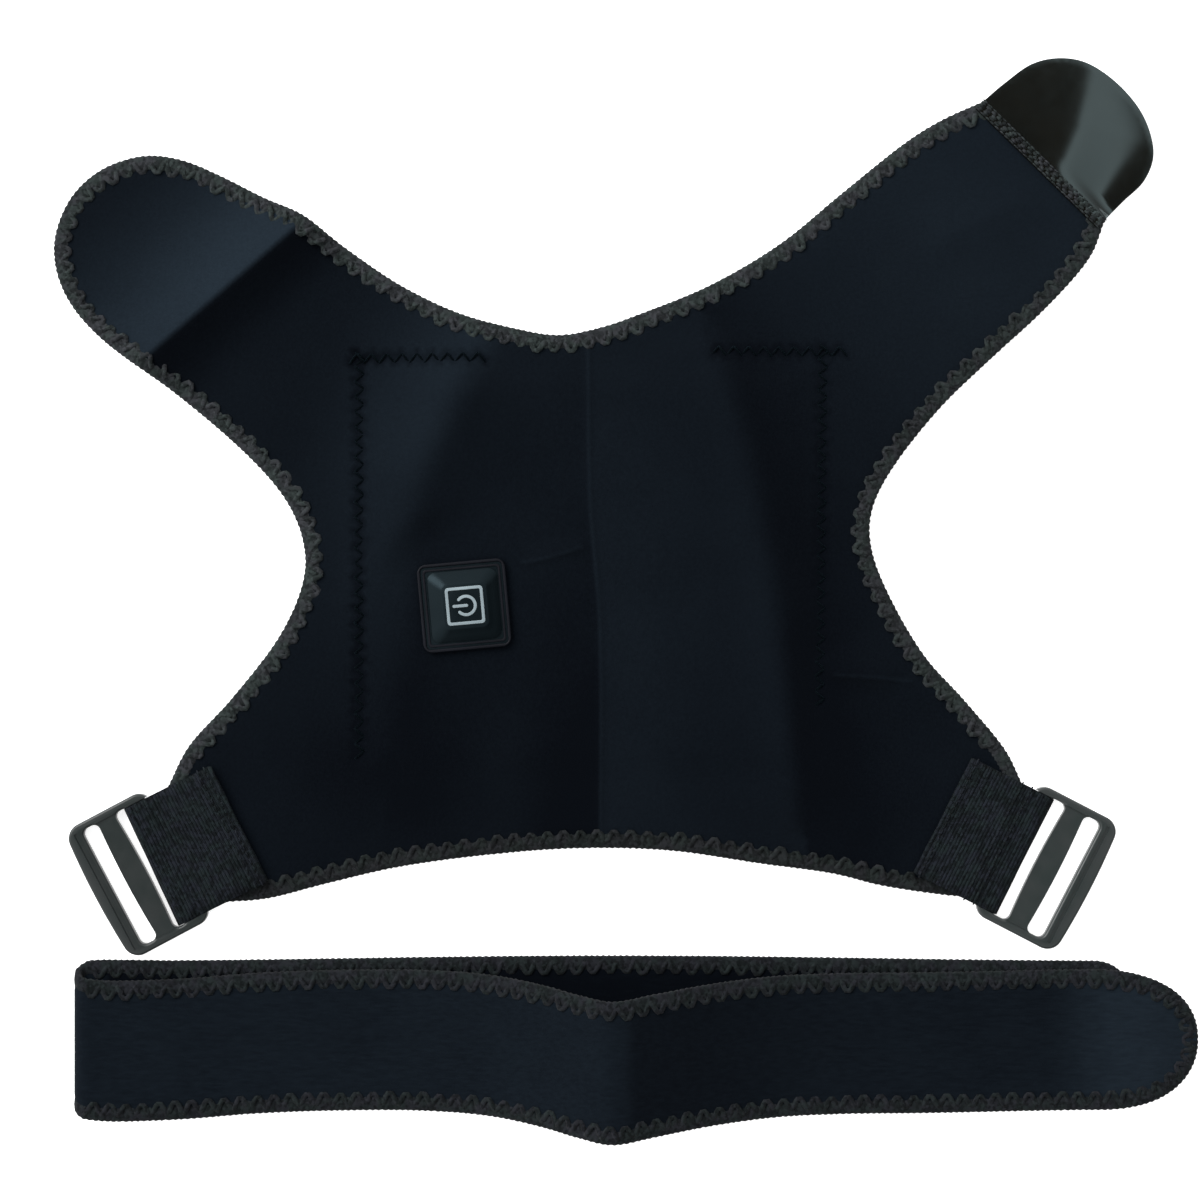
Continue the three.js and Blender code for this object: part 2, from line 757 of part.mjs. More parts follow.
const belt = new THREE.Group();
belt.add(
  meshOf("belt_strap", beltStrap, clothFinish),
  meshOf("belt_binding", beltRim, bindingFinish),
);
const braceBox = new THREE.Box3().setFromObject(brace, true);
const beltBox = new THREE.Box3().setFromObject(belt, true);
brace.position.z = -braceBox.min.z;
belt.position.set(beltInset, braceBox.min.y - beltClearance - beltBox.max.y, -beltBox.min.z);

const shoulderBrace = new THREE.Group();
shoulderBrace.add(brace, belt);
const box = new THREE.Box3().setFromObject(shoulderBrace, true);
const middle = box.getCenter(new THREE.Vector3());
shoulderBrace.position.set(-middle.x, -middle.y, -box.min.z);

export default shoulderBrace;
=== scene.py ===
# Shoulder brace and its folded belt, laid flat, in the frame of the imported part.
# Shapes are worked out in millimetres and become metres when a mesh is made.
import math

import bmesh
import bpy
import numpy as np
from mathutils import Matrix, Vector
from mathutils.geometry import delaunay_2d_cdt


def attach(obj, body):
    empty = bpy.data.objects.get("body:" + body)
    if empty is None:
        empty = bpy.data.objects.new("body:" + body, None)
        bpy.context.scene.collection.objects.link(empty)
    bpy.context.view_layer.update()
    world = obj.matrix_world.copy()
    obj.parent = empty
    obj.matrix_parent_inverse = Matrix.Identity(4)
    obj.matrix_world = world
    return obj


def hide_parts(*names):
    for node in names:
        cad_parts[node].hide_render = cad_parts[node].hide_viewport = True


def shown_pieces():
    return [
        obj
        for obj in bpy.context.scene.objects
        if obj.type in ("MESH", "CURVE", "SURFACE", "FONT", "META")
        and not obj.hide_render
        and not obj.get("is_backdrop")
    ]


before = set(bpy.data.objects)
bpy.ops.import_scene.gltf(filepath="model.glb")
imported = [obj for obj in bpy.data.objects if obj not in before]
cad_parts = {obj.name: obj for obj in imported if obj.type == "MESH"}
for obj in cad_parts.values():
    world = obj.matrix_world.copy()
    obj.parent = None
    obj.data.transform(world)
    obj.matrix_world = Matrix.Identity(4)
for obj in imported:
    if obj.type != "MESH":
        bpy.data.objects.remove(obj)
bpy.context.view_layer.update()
mm = 0.001
rng = np.random.default_rng(7)
print("frame loaded")


# ---- lines and heights ----
def evenly(points, spacing, closed=False):  # the same line as points one spacing apart
    line = np.vstack([points, points[:1]]) if closed else np.asarray(points)
    run = np.concatenate([[0], np.cumsum(np.linalg.norm(np.diff(line, axis=0), axis=1))])
    count = max(int(round(run[-1] / spacing)), 2)
    places = np.linspace(0, run[-1], count + 1)[: count if closed else None]
    return np.stack([np.interp(places, run, axis) for axis in line.T], axis=1)


def throughPoints(points, spacing, knot=0.0):  # a smooth line through the points
    p = np.array(points, float)
    p = np.vstack([2 * p[0] - p[1], p, 2 * p[-1] - p[-2]])
    fine = []
    for a, b, c, d in zip(p, p[1:], p[2:], p[3:]):
        t0, t1 = 0.0, np.linalg.norm(b - a) ** knot
        t2 = t1 + np.linalg.norm(c - b) ** knot
        t3 = t2 + np.linalg.norm(d - c) ** knot
        t = np.linspace(t1, t2, 24, endpoint=False)[:, None]
        ab = ((t1 - t) * a + (t - t0) * b) / (t1 - t0)
        bc = ((t2 - t) * b + (t - t1) * c) / (t2 - t1)
        cd = ((t3 - t) * c + (t - t2) * d) / (t3 - t2)
        abc = ((t2 - t) * ab + (t - t0) * bc) / (t2 - t0)
        bcd = ((t3 - t) * bc + (t - t1) * cd) / (t3 - t1)
        fine.append(((t2 - t) * abc + (t - t1) * bcd) / (t2 - t1))
    return evenly(np.vstack(fine + [p[-2:-1]]), spacing)


def unit(vectors):
    return vectors / np.maximum(np.linalg.norm(vectors, axis=-1, keepdims=True), 1e-12)


def along(line, closed=False):  # unit tangents of a line
    if closed:
        return unit(np.roll(line, -1, axis=0) - np.roll(line, 1, axis=0))
    return unit(np.gradient(line, axis=0))


def leftOf(line, closed=False):  # unit normals to the left of a flat line's travel
    tangent = along(line[:, :2], closed)
    return np.stack([-tangent[:, 1], tangent[:, 0]], axis=1)


def smooth(value, low, high):
    share = np.clip((value - low) / (high - low), 0, 1)
    return share * share * (3 - 2 * share)


def toLine(xy, line):  # distance to a flat line, and +1 where xy lies to the right of its travel
    best, side = np.full(len(xy), 1e9), np.ones(len(xy))
    for a, b in zip(line, line[1:]):
        span = b - a
        off = xy - a - np.clip((xy - a) @ span / (span @ span), 0, 1)[:, None] * span
        distance = np.hypot(off[:, 0], off[:, 1])
        nearer = distance < best
        side = np.where(nearer, np.where(span[0] * off[:, 1] > span[1] * off[:, 0], -1, 1), side)
        best = np.where(nearer, distance, best)
    return best, side


# ---- meshes ----
def newPiece(name, points, faces, material, uv=None, values=None, sharp=50):
    mesh = bpy.data.meshes.new(name)
    mesh.from_pydata((np.asarray(points) * mm).tolist(), [], faces)
    if uv is not None:  # one pair for each corner of each face
        mesh.uv_layers.new(name="thread").data.foreach_set("uv", np.asarray(uv, np.float32).ravel())
    for key, numbers in (values or {}).items():
        mesh.attributes.new(key, "FLOAT", "POINT").data.foreach_set("value", np.asarray(numbers, np.float32))
    mesh.materials.append(material)
    mesh.polygons.foreach_set("use_smooth", [True] * len(mesh.polygons))
    mesh.set_sharp_from_angle(angle=math.radians(sharp))
    mesh.validate()
    piece = bpy.data.objects.new(name, mesh)
    bpy.context.scene.collection.objects.link(piece)
    return piece


# Rings of points joined into a skin; its UV runs along the rings and round them, in millimetres.
def skin(name, rings, material, closed=False, sharp=50, values=None):
    rings = np.asarray(rings, float)
    rows, count = rings.shape[:2]
    i, j = np.meshgrid(np.arange(rows if closed else rows - 1), np.arange(count), indexing="ij")
    i2, j2 = (i + 1) % rows, (j + 1) % count
    quads = np.stack([i * count + j, i * count + j2, i2 * count + j2, i2 * count + j], axis=-1).reshape(-1, 4)
    step = np.linalg.norm(np.diff(rings.mean(axis=1), axis=0), axis=1).mean()
    girth = np.linalg.norm(rings[0] - np.roll(rings[0], -1, axis=0), axis=1).mean()
    corners = np.stack([np.stack([i, j], -1), np.stack([i, j + 1], -1), np.stack([i + 1, j + 1], -1),
                        np.stack([i + 1, j], -1)], axis=2).reshape(-1, 2) * (step, girth)
    faces = quads.tolist()
    if not closed:
        faces += [list(range(count))[::-1], list(range((rows - 1) * count, rows * count))]
        corners = np.vstack([corners, np.zeros((2 * count, 2))])
    piece = newPiece(name, rings.reshape(-1, 3), faces, material, corners, values, sharp)
    return facingOut(piece)


def facingOut(piece):
    bm = bmesh.new()
    bm.from_mesh(piece.data)
    if bm.calc_volume(signed=True) < 0:
        bmesh.ops.reverse_faces(bm, faces=bm.faces)
        bm.to_mesh(piece.data)
    bm.free()
    return piece


# Rings of one section round a rail; section columns are across (along the rail's inward) and up.
def sweep(rail, section, swell=None):
    across, up = np.asarray(section, float).T
    centre = np.array([across.mean(), up.mean()])
    size = np.ones(len(rail["at"])) if swell is None else swell
    a = centre[0] + (across - centre[0]) * size[:, None]
    b = centre[1] + (up - centre[1]) * size[:, None]
    return rail["at"][:, None] + a[..., None] * rail["inward"][:, None] + b[..., None] * rail["up"][:, None]


def roundSection(left, right, low, high, sides=10, power=2.5):  # a rounded box as points
    angle = (np.arange(sides) + 0.5) / sides * 2 * math.pi
    cos, sin = np.cos(angle), np.sin(angle)
    x = np.sign(cos) * np.abs(cos) ** (2 / power)
    y = np.sign(sin) * np.abs(sin) ** (2 / power)
    return np.stack([(left + right) / 2 + x * (right - left) / 2, (low + high) / 2 + y * (high - low) / 2], 1)


def thread(points, width, height, sides=6, spacing=0.8):  # rings of a flat-lying thread through points
    line = throughPoints(points, spacing, 0.5)
    tangent = along(line)
    across = unit(np.cross(tangent, np.array([0, 0, 1.0])))
    up = np.cross(across, tangent)
    rail = {"at": line, "inward": across, "up": up}
    ends = np.sqrt(np.clip(np.minimum(np.arange(len(line)) + 0.6, len(line) - 0.4 - np.arange(len(line))), 0, 1))
    return sweep(rail, roundSection(-width / 2, width / 2, -height / 2, height / 2, sides, 2), ends)


def fillOutline(outline, spacing, features=()):  # triangles inside a closed flat outline, and their points
    low, high = outline.min(axis=0), outline.max(axis=0)
    rows = np.arange(low[1], high[1], spacing * 0.866)
    grid = np.vstack([np.stack([np.arange(low[0] + (r % 2) * spacing / 2, high[0], spacing),
                                np.full(len(np.arange(low[0] + (r % 2) * spacing / 2, high[0], spacing)), y)], 1)
                      for r, y in enumerate(rows)])
    inside = np.zeros(len(grid), bool)
    for (x1, y1), (x2, y2) in zip(outline, np.roll(outline, -1, axis=0)):
        if y1 != y2:
            crosses = (grid[:, 1] < y1) != (grid[:, 1] < y2)
            inside ^= crosses & (grid[:, 0] < x1 + (grid[:, 1] - y1) * (x2 - x1) / (y2 - y1))
    grid = grid[inside]
    ring = np.vstack([outline, outline[:1]])
    grid = grid[toLine(grid, ring)[0] > 0.6 * spacing]
    for line in features:  # the grid makes room for the points along each crease or seam
        line = line[toLine(line, ring)[0] > 0.5]
        near = np.sqrt(((grid[:, None] - line[None]) ** 2).sum(axis=2)).min(axis=1) < 0.45 * spacing
        grid = np.vstack([grid[~near], line])
    points = [Vector(p) for p in np.vstack([outline, grid])]
    flat, _, faces, *_ = delaunay_2d_cdt(points, [], [list(range(len(outline)))], 1, 1e-5)
    return np.array([tuple(p) for p in flat]), [list(f) for f in faces]


def sheetPiece(name, flat, faces, bottom, top, material, values=None, sharp=60):  # a closed sheet between two heights
    count = len(flat)
    ups = [f if signedArea(flat[f]) > 0 else f[::-1] for f in faces]
    used = {}
    for f in ups:
        for p, q in zip(f, f[1:] + f[:1]):
            used[(p, q)] = used.get((p, q), 0) + 1
    walls = [[q + count, p + count, p, q] for p, q in used if (q, p) not in used]
    everyFace = [[p + count for p in f] for f in ups] + [f[::-1] for f in ups] + walls
    points = np.vstack([np.column_stack([flat, bottom]), np.column_stack([flat, top])])
    doubled = {key: np.concatenate([numbers, numbers]) for key, numbers in (values or {}).items()}
    return facingOut(newPiece(name, points, everyFace, material, None, doubled, sharp))


def signedArea(ring):
    x, y = ring[:, 0], ring[:, 1]
    return 0.5 * float(np.sum(x * np.roll(y, -1) - y * np.roll(x, -1)))


def joined(name, pieces):  # several meshes as one piece
    mesh = bpy.data.meshes.new(name)
    bm = bmesh.new()
    materials = []
    for piece in pieces:
        for material in piece.data.materials:
            if material not in materials:
                materials.append(material)
        start = len(bm.faces)
        bm.from_mesh(piece.data)
        bm.faces.ensure_lookup_table()
        for face in bm.faces[start:]:
            face.material_index = materials.index(piece.data.materials[face.material_index])
    bm.to_mesh(mesh)
    bm.free()
    for material in materials:
        mesh.materials.append(material)
    for piece in pieces:
        bpy.data.objects.remove(piece)
    made = bpy.data.objects.new(name, mesh)
    bpy.context.scene.collection.objects.link(made)
    return made


# A plate with rounded rims from flat rings, the first its outside and the others holes.
def slab(name, rings, low, high, bevel, material, matrix=Matrix()):
    curve = bpy.data.curves.new(name, "CURVE")
    curve.dimensions, curve.fill_mode = "2D", "BOTH"
    for ring in rings:
        spline = curve.splines.new("POLY")
        spline.points.add(len(ring) - 1)
        spline.points.foreach_set("co", np.column_stack([np.asarray(ring) * mm, np.zeros(len(ring)),
                                                         np.ones(len(ring))]).ravel())
        spline.use_cyclic_u = True
    curve.extrude = ((high - low) / 2 - bevel) * mm
    curve.bevel_depth, curve.bevel_resolution, curve.offset = bevel * mm, 3, -bevel * mm
    source = bpy.data.objects.new(name, curve)
    mesh = bpy.data.meshes.new_from_object(source)
    bpy.data.objects.remove(source)
    bpy.data.curves.remove(curve)
    bm = bmesh.new()
    bm.from_mesh(mesh)
    bmesh.ops.remove_doubles(bm, verts=bm.verts, dist=0.01 * mm)
    bmesh.ops.recalc_face_normals(bm, faces=bm.faces)
    bmesh.ops.transform(bm, matrix=matrix @ Matrix.Translation((0, 0, (low + high) / 2 * mm)), verts=bm.verts)
    bm.to_mesh(mesh)
    bm.free()
    mesh.materials.clear()
    mesh.materials.append(material)
    mesh.polygons.foreach_set("use_smooth", [True] * len(mesh.polygons))
    mesh.set_sharp_from_angle(angle=math.radians(35))
    piece = bpy.data.objects.new(name, mesh)
    bpy.context.scene.collection.objects.link(piece)
    return facingOut(piece)


def roundedRing(left, right, low, high, corner, segments=8):  # a rectangle with round corners
    ring = []
    for x, y, start in ((right - corner, low + corner, -90), (right - corner, high - corner, 0),
                        (left + corner, high - corner, 90), (left + corner, low + corner, 180)):
        for angle in np.radians(np.linspace(start, start + 90, segments + 1)):
            ring.append((x + corner * math.cos(angle), y + corner * math.sin(angle)))
    return np.array(ring)


def cutBy(piece, cutter):  # takes the cutter out of the piece
    modifier = piece.modifiers.new("cut", "BOOLEAN")
    modifier.operation, modifier.solver, modifier.object = "DIFFERENCE", "EXACT", cutter
    evaluated = piece.evaluated_get(bpy.context.evaluated_depsgraph_get())
    mesh = bpy.data.meshes.new_from_object(evaluated)
    piece.modifiers.clear()
    piece.data = mesh
    bpy.data.objects.remove(cutter)
    mesh.polygons.foreach_set("use_smooth", [True] * len(mesh.polygons))
    mesh.set_sharp_from_angle(angle=math.radians(35))
    return piece


# ---- Geometry Nodes: one stitch or rib repeated along a rail ----
repeatInputs = {"Pitch": ("NodeSocketFloat", 0.006), "Wobble": ("NodeSocketFloat", 0.04), "Tilt": ("NodeSocketFloat", 0.05),
                "Seed": ("NodeSocketInt", 3), "Stitch": ("NodeSocketObject", None), "Thread": ("NodeSocketMaterial", None)}


def buildRepeatTree():
    tree = bpy.data.node_groups.new("repeatAlongRail", "GeometryNodeTree")
    tree.interface.new_socket("Geometry", in_out="INPUT", socket_type="NodeSocketGeometry")
    for name, (kind, value) in repeatInputs.items():
        socket = tree.interface.new_socket(name, in_out="INPUT", socket_type=kind)
        if value is not None:
            socket.default_value = value
    tree.interface.new_socket("Geometry", in_out="OUTPUT", socket_type="NodeSocketGeometry")

    def node(kind, **settings):
        made = tree.nodes.new(kind)
        for key, value in settings.items():
            setattr(made, key, value)
        return made

    def wire(source, target):
        tree.links.new(source, target)

    start, end = node("NodeGroupInput"), node("NodeGroupOutput")
    rail = node("GeometryNodeMeshToCurve")
    spaced = node("GeometryNodeResampleCurve", mode="LENGTH")
    up = node("GeometryNodeInputNamedAttribute", data_type="FLOAT_VECTOR")
    up.inputs["Name"].default_value = "up"
    frameOfPoint = node("FunctionNodeAxesToRotation", primary_axis="Z", secondary_axis="X")
    turnRange = node("FunctionNodeRandomValue", data_type="FLOAT_VECTOR")
    turn = node("FunctionNodeEulerToRotation")
    turned = node("FunctionNodeRotateRotation", rotation_space="LOCAL")
    size = node("FunctionNodeRandomValue", data_type="FLOAT")
    smallest, largest = node("ShaderNodeMath", operation="SUBTRACT"), node("ShaderNodeMath", operation="ADD")
    negative = node("ShaderNodeMath", operation="MULTIPLY")
    shade = node("FunctionNodeRandomValue", data_type="FLOAT")
    stitch = node("GeometryNodeObjectInfo", transform_space="ORIGINAL")
    placed = node("GeometryNodeInstanceOnPoints")
    named = node("GeometryNodeStoreNamedAttribute", data_type="FLOAT", domain="INSTANCE")
    named.inputs["Name"].default_value = "shade"
    real, finish = node("GeometryNodeRealizeInstances"), node("GeometryNodeSetMaterial")
    smallest.inputs[0].default_value = largest.inputs[0].default_value = 1
    negative.inputs[1].default_value = -1

    def socket(made, name, kind):  # the enabled socket of that name
        return next(s for s in made if s.name == name and s.enabled and s.type == kind)

    wire(start.outputs["Geometry"], rail.inputs["Mesh"])
    wire(rail.outputs["Curve"], spaced.inputs["Curve"])
    wire(start.outputs["Pitch"], spaced.inputs["Length"])
    wire(socket(up.outputs, "Attribute", "VECTOR"), frameOfPoint.inputs["Primary Axis"])
    wire(node("GeometryNodeInputTangent").outputs["Tangent"], frameOfPoint.inputs["Secondary Axis"])
    wire(start.outputs["Tilt"], negative.inputs[0])
    wire(negative.outputs[0], socket(turnRange.inputs, "Min", "VECTOR"))
    wire(start.outputs["Tilt"], socket(turnRange.inputs, "Max", "VECTOR"))
    wire(socket(turnRange.outputs, "Value", "VECTOR"), turn.inputs["Euler"])
    wire(frameOfPoint.outputs["Rotation"], turned.inputs["Rotation"])
    wire(turn.outputs["Rotation"], turned.inputs["Rotate By"])
    wire(start.outputs["Wobble"], smallest.inputs[1])
    wire(start.outputs["Wobble"], largest.inputs[1])
    wire(smallest.outputs[0], socket(size.inputs, "Min", "VALUE"))
    wire(largest.outputs[0], socket(size.inputs, "Max", "VALUE"))
    for chance in (turnRange, size, shade):
        wire(start.outputs["Seed"], chance.inputs["Seed"])
    wire(start.outputs["Stitch"], stitch.inputs["Object"])
    wire(spaced.outputs["Curve"], placed.inputs["Points"])
    wire(stitch.outputs["Geometry"], placed.inputs["Instance"])
    wire(turned.outputs["Rotation"], placed.inputs["Rotation"])
    wire(socket(size.outputs, "Value", "VALUE"), placed.inputs["Scale"])
    wire(placed.outputs["Instances"], named.inputs["Geometry"])
    wire(socket(shade.outputs, "Value", "VALUE"), socket(named.inputs, "Value", "VALUE"))
    wire(named.outputs["Geometry"], real.inputs["Geometry"])
    wire(real.outputs["Geometry"], finish.inputs["Geometry"])
    wire(start.outputs["Thread"], finish.inputs["Material"])
    wire(finish.outputs["Geometry"], end.inputs["Geometry"])
    return tree


repeatTree = buildRepeatTree()


def repeatAlong(name, rail, stitch, material, pitch, closed=False, wobble=0.07, tilt=0.08, seed=3):
    count = len(rail["at"])
    mesh = bpy.data.meshes.new(name)
    edges = [(i, (i + 1) % count) for i in range(count if closed else count - 1)]
    mesh.from_pydata((rail["at"] * mm).tolist(), edges, [])
    mesh.attributes.new("up", "FLOAT_VECTOR", "POINT").data.foreach_set("vector", rail["up"].astype(np.float32).ravel())
    source = bpy.data.objects.new(name + "_rail", mesh)
    bpy.context.scene.collection.objects.link(source)
    modifier = source.modifiers.new("repeat", "NODES")
    modifier.node_group = repeatTree
    values = {"Pitch": pitch * mm, "Wobble": wobble, "Tilt": tilt, "Seed": seed, "Stitch": stitch, "Thread": material}
    for item in repeatTree.interface.items_tree:
        if item.in_out == "INPUT" and item.name in values:
            modifier[item.identifier] = values[item.name]
    evaluated = source.evaluated_get(bpy.context.evaluated_depsgraph_get())
    made = bpy.data.objects.new(name, bpy.data.meshes.new_from_object(evaluated))
    bpy.context.scene.collection.objects.link(made)
    source.modifiers.clear()
    bpy.data.objects.remove(source)
    return made


def stitchShape(name, threads, width, height, material, sides=5, spacing=1.1):  # the one mesh that is repeated
    parts = [skin(name + str(i), thread(points, width, height, sides, spacing), material, sharp=180)
             for i, points in enumerate(threads)]
    return joined(name, parts)


# ---- materials ----
def newMaterial(name, **sockets):
    material = bpy.data.materials.new(name)
    material.use_nodes = True
    shader = material.node_tree.nodes["Principled BSDF"]
    for key, value in sockets.items():
        shader.inputs[key.replace("_", " ")].default_value = value
    return material, material.node_tree, shader


def addNode(tree, kind, inputs=None, **settings):
    made = tree.nodes.new(kind)
    for key, value in settings.items():
        setattr(made, key, value)
    for key, value in (inputs or {}).items():
        if isinstance(value, bpy.types.NodeSocket):
            tree.links.new(value, made.inputs[key])
        else:
            made.inputs[key].default_value = value
    return made


def noiseOf(tree, where, scale, detail=2, rough=0.5, stretch=None):
    if stretch:
        where = addNode(tree, "ShaderNodeMapping", {"Vector": where, "Scale": stretch}).outputs[0]
    return addNode(tree, "ShaderNodeTexNoise", {"Vector": where, "Scale": scale, "Detail": detail,
                                                "Roughness": rough}).outputs[0]


def spread(tree, value, low, high, fromLow=0.3, fromHigh=0.7):  # a value moved to another range
    return addNode(tree, "ShaderNodeMapRange", {"Value": value, "From Min": fromLow, "From Max": fromHigh,
                                                "To Min": low, "To Max": high}).outputs[0]


def times(tree, a, b):
    return addNode(tree, "ShaderNodeMath", {0: a, 1: b}, operation="MULTIPLY").outputs[0]


def plus(tree, a, b):
    return addNode(tree, "ShaderNodeMath", {0: a, 1: b}, operation="ADD").outputs[0]


def between(tree, share, dark, light):  # a colour between two
    return addNode(tree, "ShaderNodeMix", {"Factor": share, 6: (*dark, 1), 7: (*light, 1)}, data_type="RGBA").outputs[2]


def bumpOf(tree, height, distance, strength=1.0, normal=None):
    inputs = {"Height": height, "Distance": distance * mm, "Strength": strength}
    if normal is not None:
        inputs["Normal"] = normal
    return addNode(tree, "ShaderNodeBump", inputs).outputs[0]


clothLook = {"dark": (0.0013, 0.002, 0.0034), "light": (0.0115, 0.0178, 0.025), "mottle": 0.14, "fuzz": 0.26,
             "roughness": 0.95, "sheen": 0.02}
threadLook = {"dark": (0.003, 0.004, 0.0042), "light": (0.03, 0.039, 0.038), "blush": (0.034, 0.036, 0.041),
              "roughness": 0.9}
beltThreadLook = {"dark": (0.0012, 0.0018, 0.0021), "light": (0.0125, 0.017, 0.0175), "blush": (0.0145, 0.0155, 0.0195),
                  "roughness": 0.9}
webbingLook = {"dark": (0.0014, 0.0022, 0.0026), "light": (0.0094, 0.0146, 0.0158), "blush": (0.0106, 0.0128, 0.0182),
               "roughness": 0.9}
slideLook = {"dark": (0.0046, 0.0104, 0.0098), "light": (0.0136, 0.0168, 0.017), "roughness": 0.34}
filmLook = {"dark": (0.002, 0.0015, 0.0007), "light": (0.0034, 0.0026, 0.0014), "roughness": 0.12}
rubberLook = {"dark": (0.0011, 0.0022, 0.003), "light": (0.0021, 0.0036, 0.0046), "roughness": 0.36}
rimLook = {"dark": (0.0018, 0.0023, 0.0042), "light": (0.0032, 0.0039, 0.0068), "roughness": 0.5}
printLook = {"dark": (0.15, 0.19, 0.207), "light": (0.207, 0.26, 0.282), "roughness": 0.4}
floorLook = {"dark": (0.86, 0.86, 0.86), "light": (0.9, 0.9, 0.9), "roughness": 0.7}


def clothMaterial(name, streaks, contrast=1.0):
    look = clothLook
    material, tree, shader = newMaterial(name, Roughness=look["roughness"], Specular_IOR_Level=0.016,
                                         Sheen_Weight=look["sheen"], Sheen_Roughness=0.5)
    where = addNode(tree, "ShaderNodeTexCoord").outputs["Object"]
    # the cloth's attribute paints the light and shade of folds, creases and seam dents into its base colour, over its
    # base tone
    toneAndPaintedShade = addNode(tree, "ShaderNodeAttribute", attribute_name="toneAndPaintedShade").outputs["Fac"]
    patches = spread(tree, noiseOf(tree, where, 28, 3), -look["mottle"], look["mottle"])
    fuzz = spread(tree, noiseOf(tree, where, 900, 3, 0.65, streaks), -look["fuzz"] * contrast, look["fuzz"] * contrast)
    tone = plus(tree, toneAndPaintedShade, times(tree, plus(tree, patches, fuzz), plus(tree, times(tree, toneAndPaintedShade, 0.4), 0.12)))
    tree.links.new(between(tree, tone, look["dark"], look["light"]), shader.inputs["Base Color"])
    loops = addNode(tree, "ShaderNodeTexVoronoi", {"Vector": where, "Scale": 1300}).outputs[0]
    nub = bumpOf(tree, noiseOf(tree, where, 1500, 4, 0.7), 0.12, 0.5)
    tree.links.new(bumpOf(tree, loops, 0.1, 0.35, nub), shader.inputs["Normal"])
    return material


# The mix says how much stitch, ply, fibre and speckle each lighten the thread
def threadMaterial(name, look, twist, brightness=1.0, mix=(0.15, 0.14, 0.3, 0.5), tint=(1, 1, 1)):
    material, tree, shader = newMaterial(name, Roughness=look["roughness"], Specular_IOR_Level=0.06,
                                         Specular_Tint=(*tint, 1), Sheen_Tint=(*tint, 1), Sheen_Weight=0.03,
                                         Sheen_Roughness=0.5)
    uv = addNode(tree, "ShaderNodeUVMap", uv_map="thread").outputs[0]
    where = addNode(tree, "ShaderNodeTexCoord").outputs["Object"]
    shade = addNode(tree, "ShaderNodeAttribute", attribute_name="shade").outputs["Fac"]
    ply = addNode(tree, "ShaderNodeTexWave", {"Vector": uv, "Scale": twist, "Distortion": 1.5, "Detail": 1},
                  wave_type="BANDS", bands_direction="DIAGONAL").outputs["Fac"]
    fibre = spread(tree, noiseOf(tree, where, 1600, 3, 0.6), 0, 1)
    speck = spread(tree, addNode(tree, "ShaderNodeTexVoronoi", {"Vector": where, "Scale": 850}).outputs["Color"], 0, 1)
    tone = plus(tree, times(tree, shade, mix[0]), plus(tree, times(tree, ply, mix[1]), times(tree, fibre, mix[2])))
    tone = plus(tree, tone, times(tree, speck, mix[3]))
    dark, light, blush = ([c * brightness for c in look[key]] for key in ("dark", "light", "blush"))
    hue = between(tree, spread(tree, noiseOf(tree, where, 190, 2), 0, 1, 0.4, 0.6), light, blush)
    colour = addNode(tree, "ShaderNodeMix", {"Factor": tone, 6: (*dark, 1), 7: hue}, data_type="RGBA")
    tree.links.new(colour.outputs[2], shader.inputs["Base Color"])
    tree.links.new(bumpOf(tree, ply, 0.12, 0.7, bumpOf(tree, fibre, 0.08, 0.5)), shader.inputs["Normal"])
    return material


def mouldedMaterial(name, look, grain, coat=0.0, level=0.5, tint=(1, 1, 1)):  # plastic, film, rubber, print or floor
    material, tree, shader = newMaterial(name, Specular_IOR_Level=level, Specular_Tint=(*tint, 1), Coat_Weight=coat,
                                         Coat_Roughness=0.05)
    where = addNode(tree, "ShaderNodeTexCoord").outputs["Object"]
    patches = spread(tree, noiseOf(tree, where, 60, 3), 0, 1)
    tree.links.new(between(tree, patches, look["dark"], look["light"]), shader.inputs["Base Color"])
    wear = spread(tree, noiseOf(tree, where, 220, 4, 0.6), look["roughness"] * 0.9, look["roughness"] * 1.1)
    tree.links.new(wear, shader.inputs["Roughness"])
    tree.links.new(bumpOf(tree, noiseOf(tree, where, 1800, 2), grain, 0.4), shader.inputs["Normal"])
    return material


cloth = clothMaterial("loop_cloth", (1, 1, 1))
beltCloth = clothMaterial("belt_cloth", (0.2, 1, 1), 1.4)
neckThread = threadMaterial("neck_thread", threadLook, 1.1, 1.0)
hemThread = threadMaterial("hem_thread", threadLook, 1.1, 0.5)
underarmThread = threadMaterial("underarm_thread", threadLook, 1.1, 0.78)
beltThread = threadMaterial("belt_thread", beltThreadLook, 1.1)
# The pocket thread is far darker than the cloth: partly its colour, partly painted shade of the stitch dents
pocketThreadAndDentShade = threadMaterial("pocket_thread_and_dent_shade", threadLook, 1.1, 0.03, tint=(0.4, 0.72, 1))
tabThread = threadMaterial("tab_thread", threadLook, 1.1, 1.1)
tabInner = threadMaterial("tab_inner_thread", threadLook, 1.1, 0.95)
webThread = threadMaterial("webbing_yarn", webbingLook, 0.9, mix=(0.08, 0.03, 0.35, 0.6))
leftSlideLook = {**slideLook, "dark": (0.0032, 0.0076, 0.0072), "light": (0.01, 0.0128, 0.013)}
slidePlastics = {"left": mouldedMaterial("slide_left_plastic", leftSlideLook, 0.02, level=0.4),
                 "right": mouldedMaterial("slide_right_plastic", slideLook, 0.02)}
film = mouldedMaterial("glossy_film", filmLook, 0.004, level=0.7, tint=(0.72, 0.96, 1))
rubber = mouldedMaterial("switch_rubber", rubberLook, 0.012, level=0.14, tint=(0.58, 0.86, 1))
rimRubber = mouldedMaterial("switch_rim_rubber", rimLook, 0.012, level=0.1)
inlay = mouldedMaterial("inlay_print", printLook, 0.01)
print("materials made")

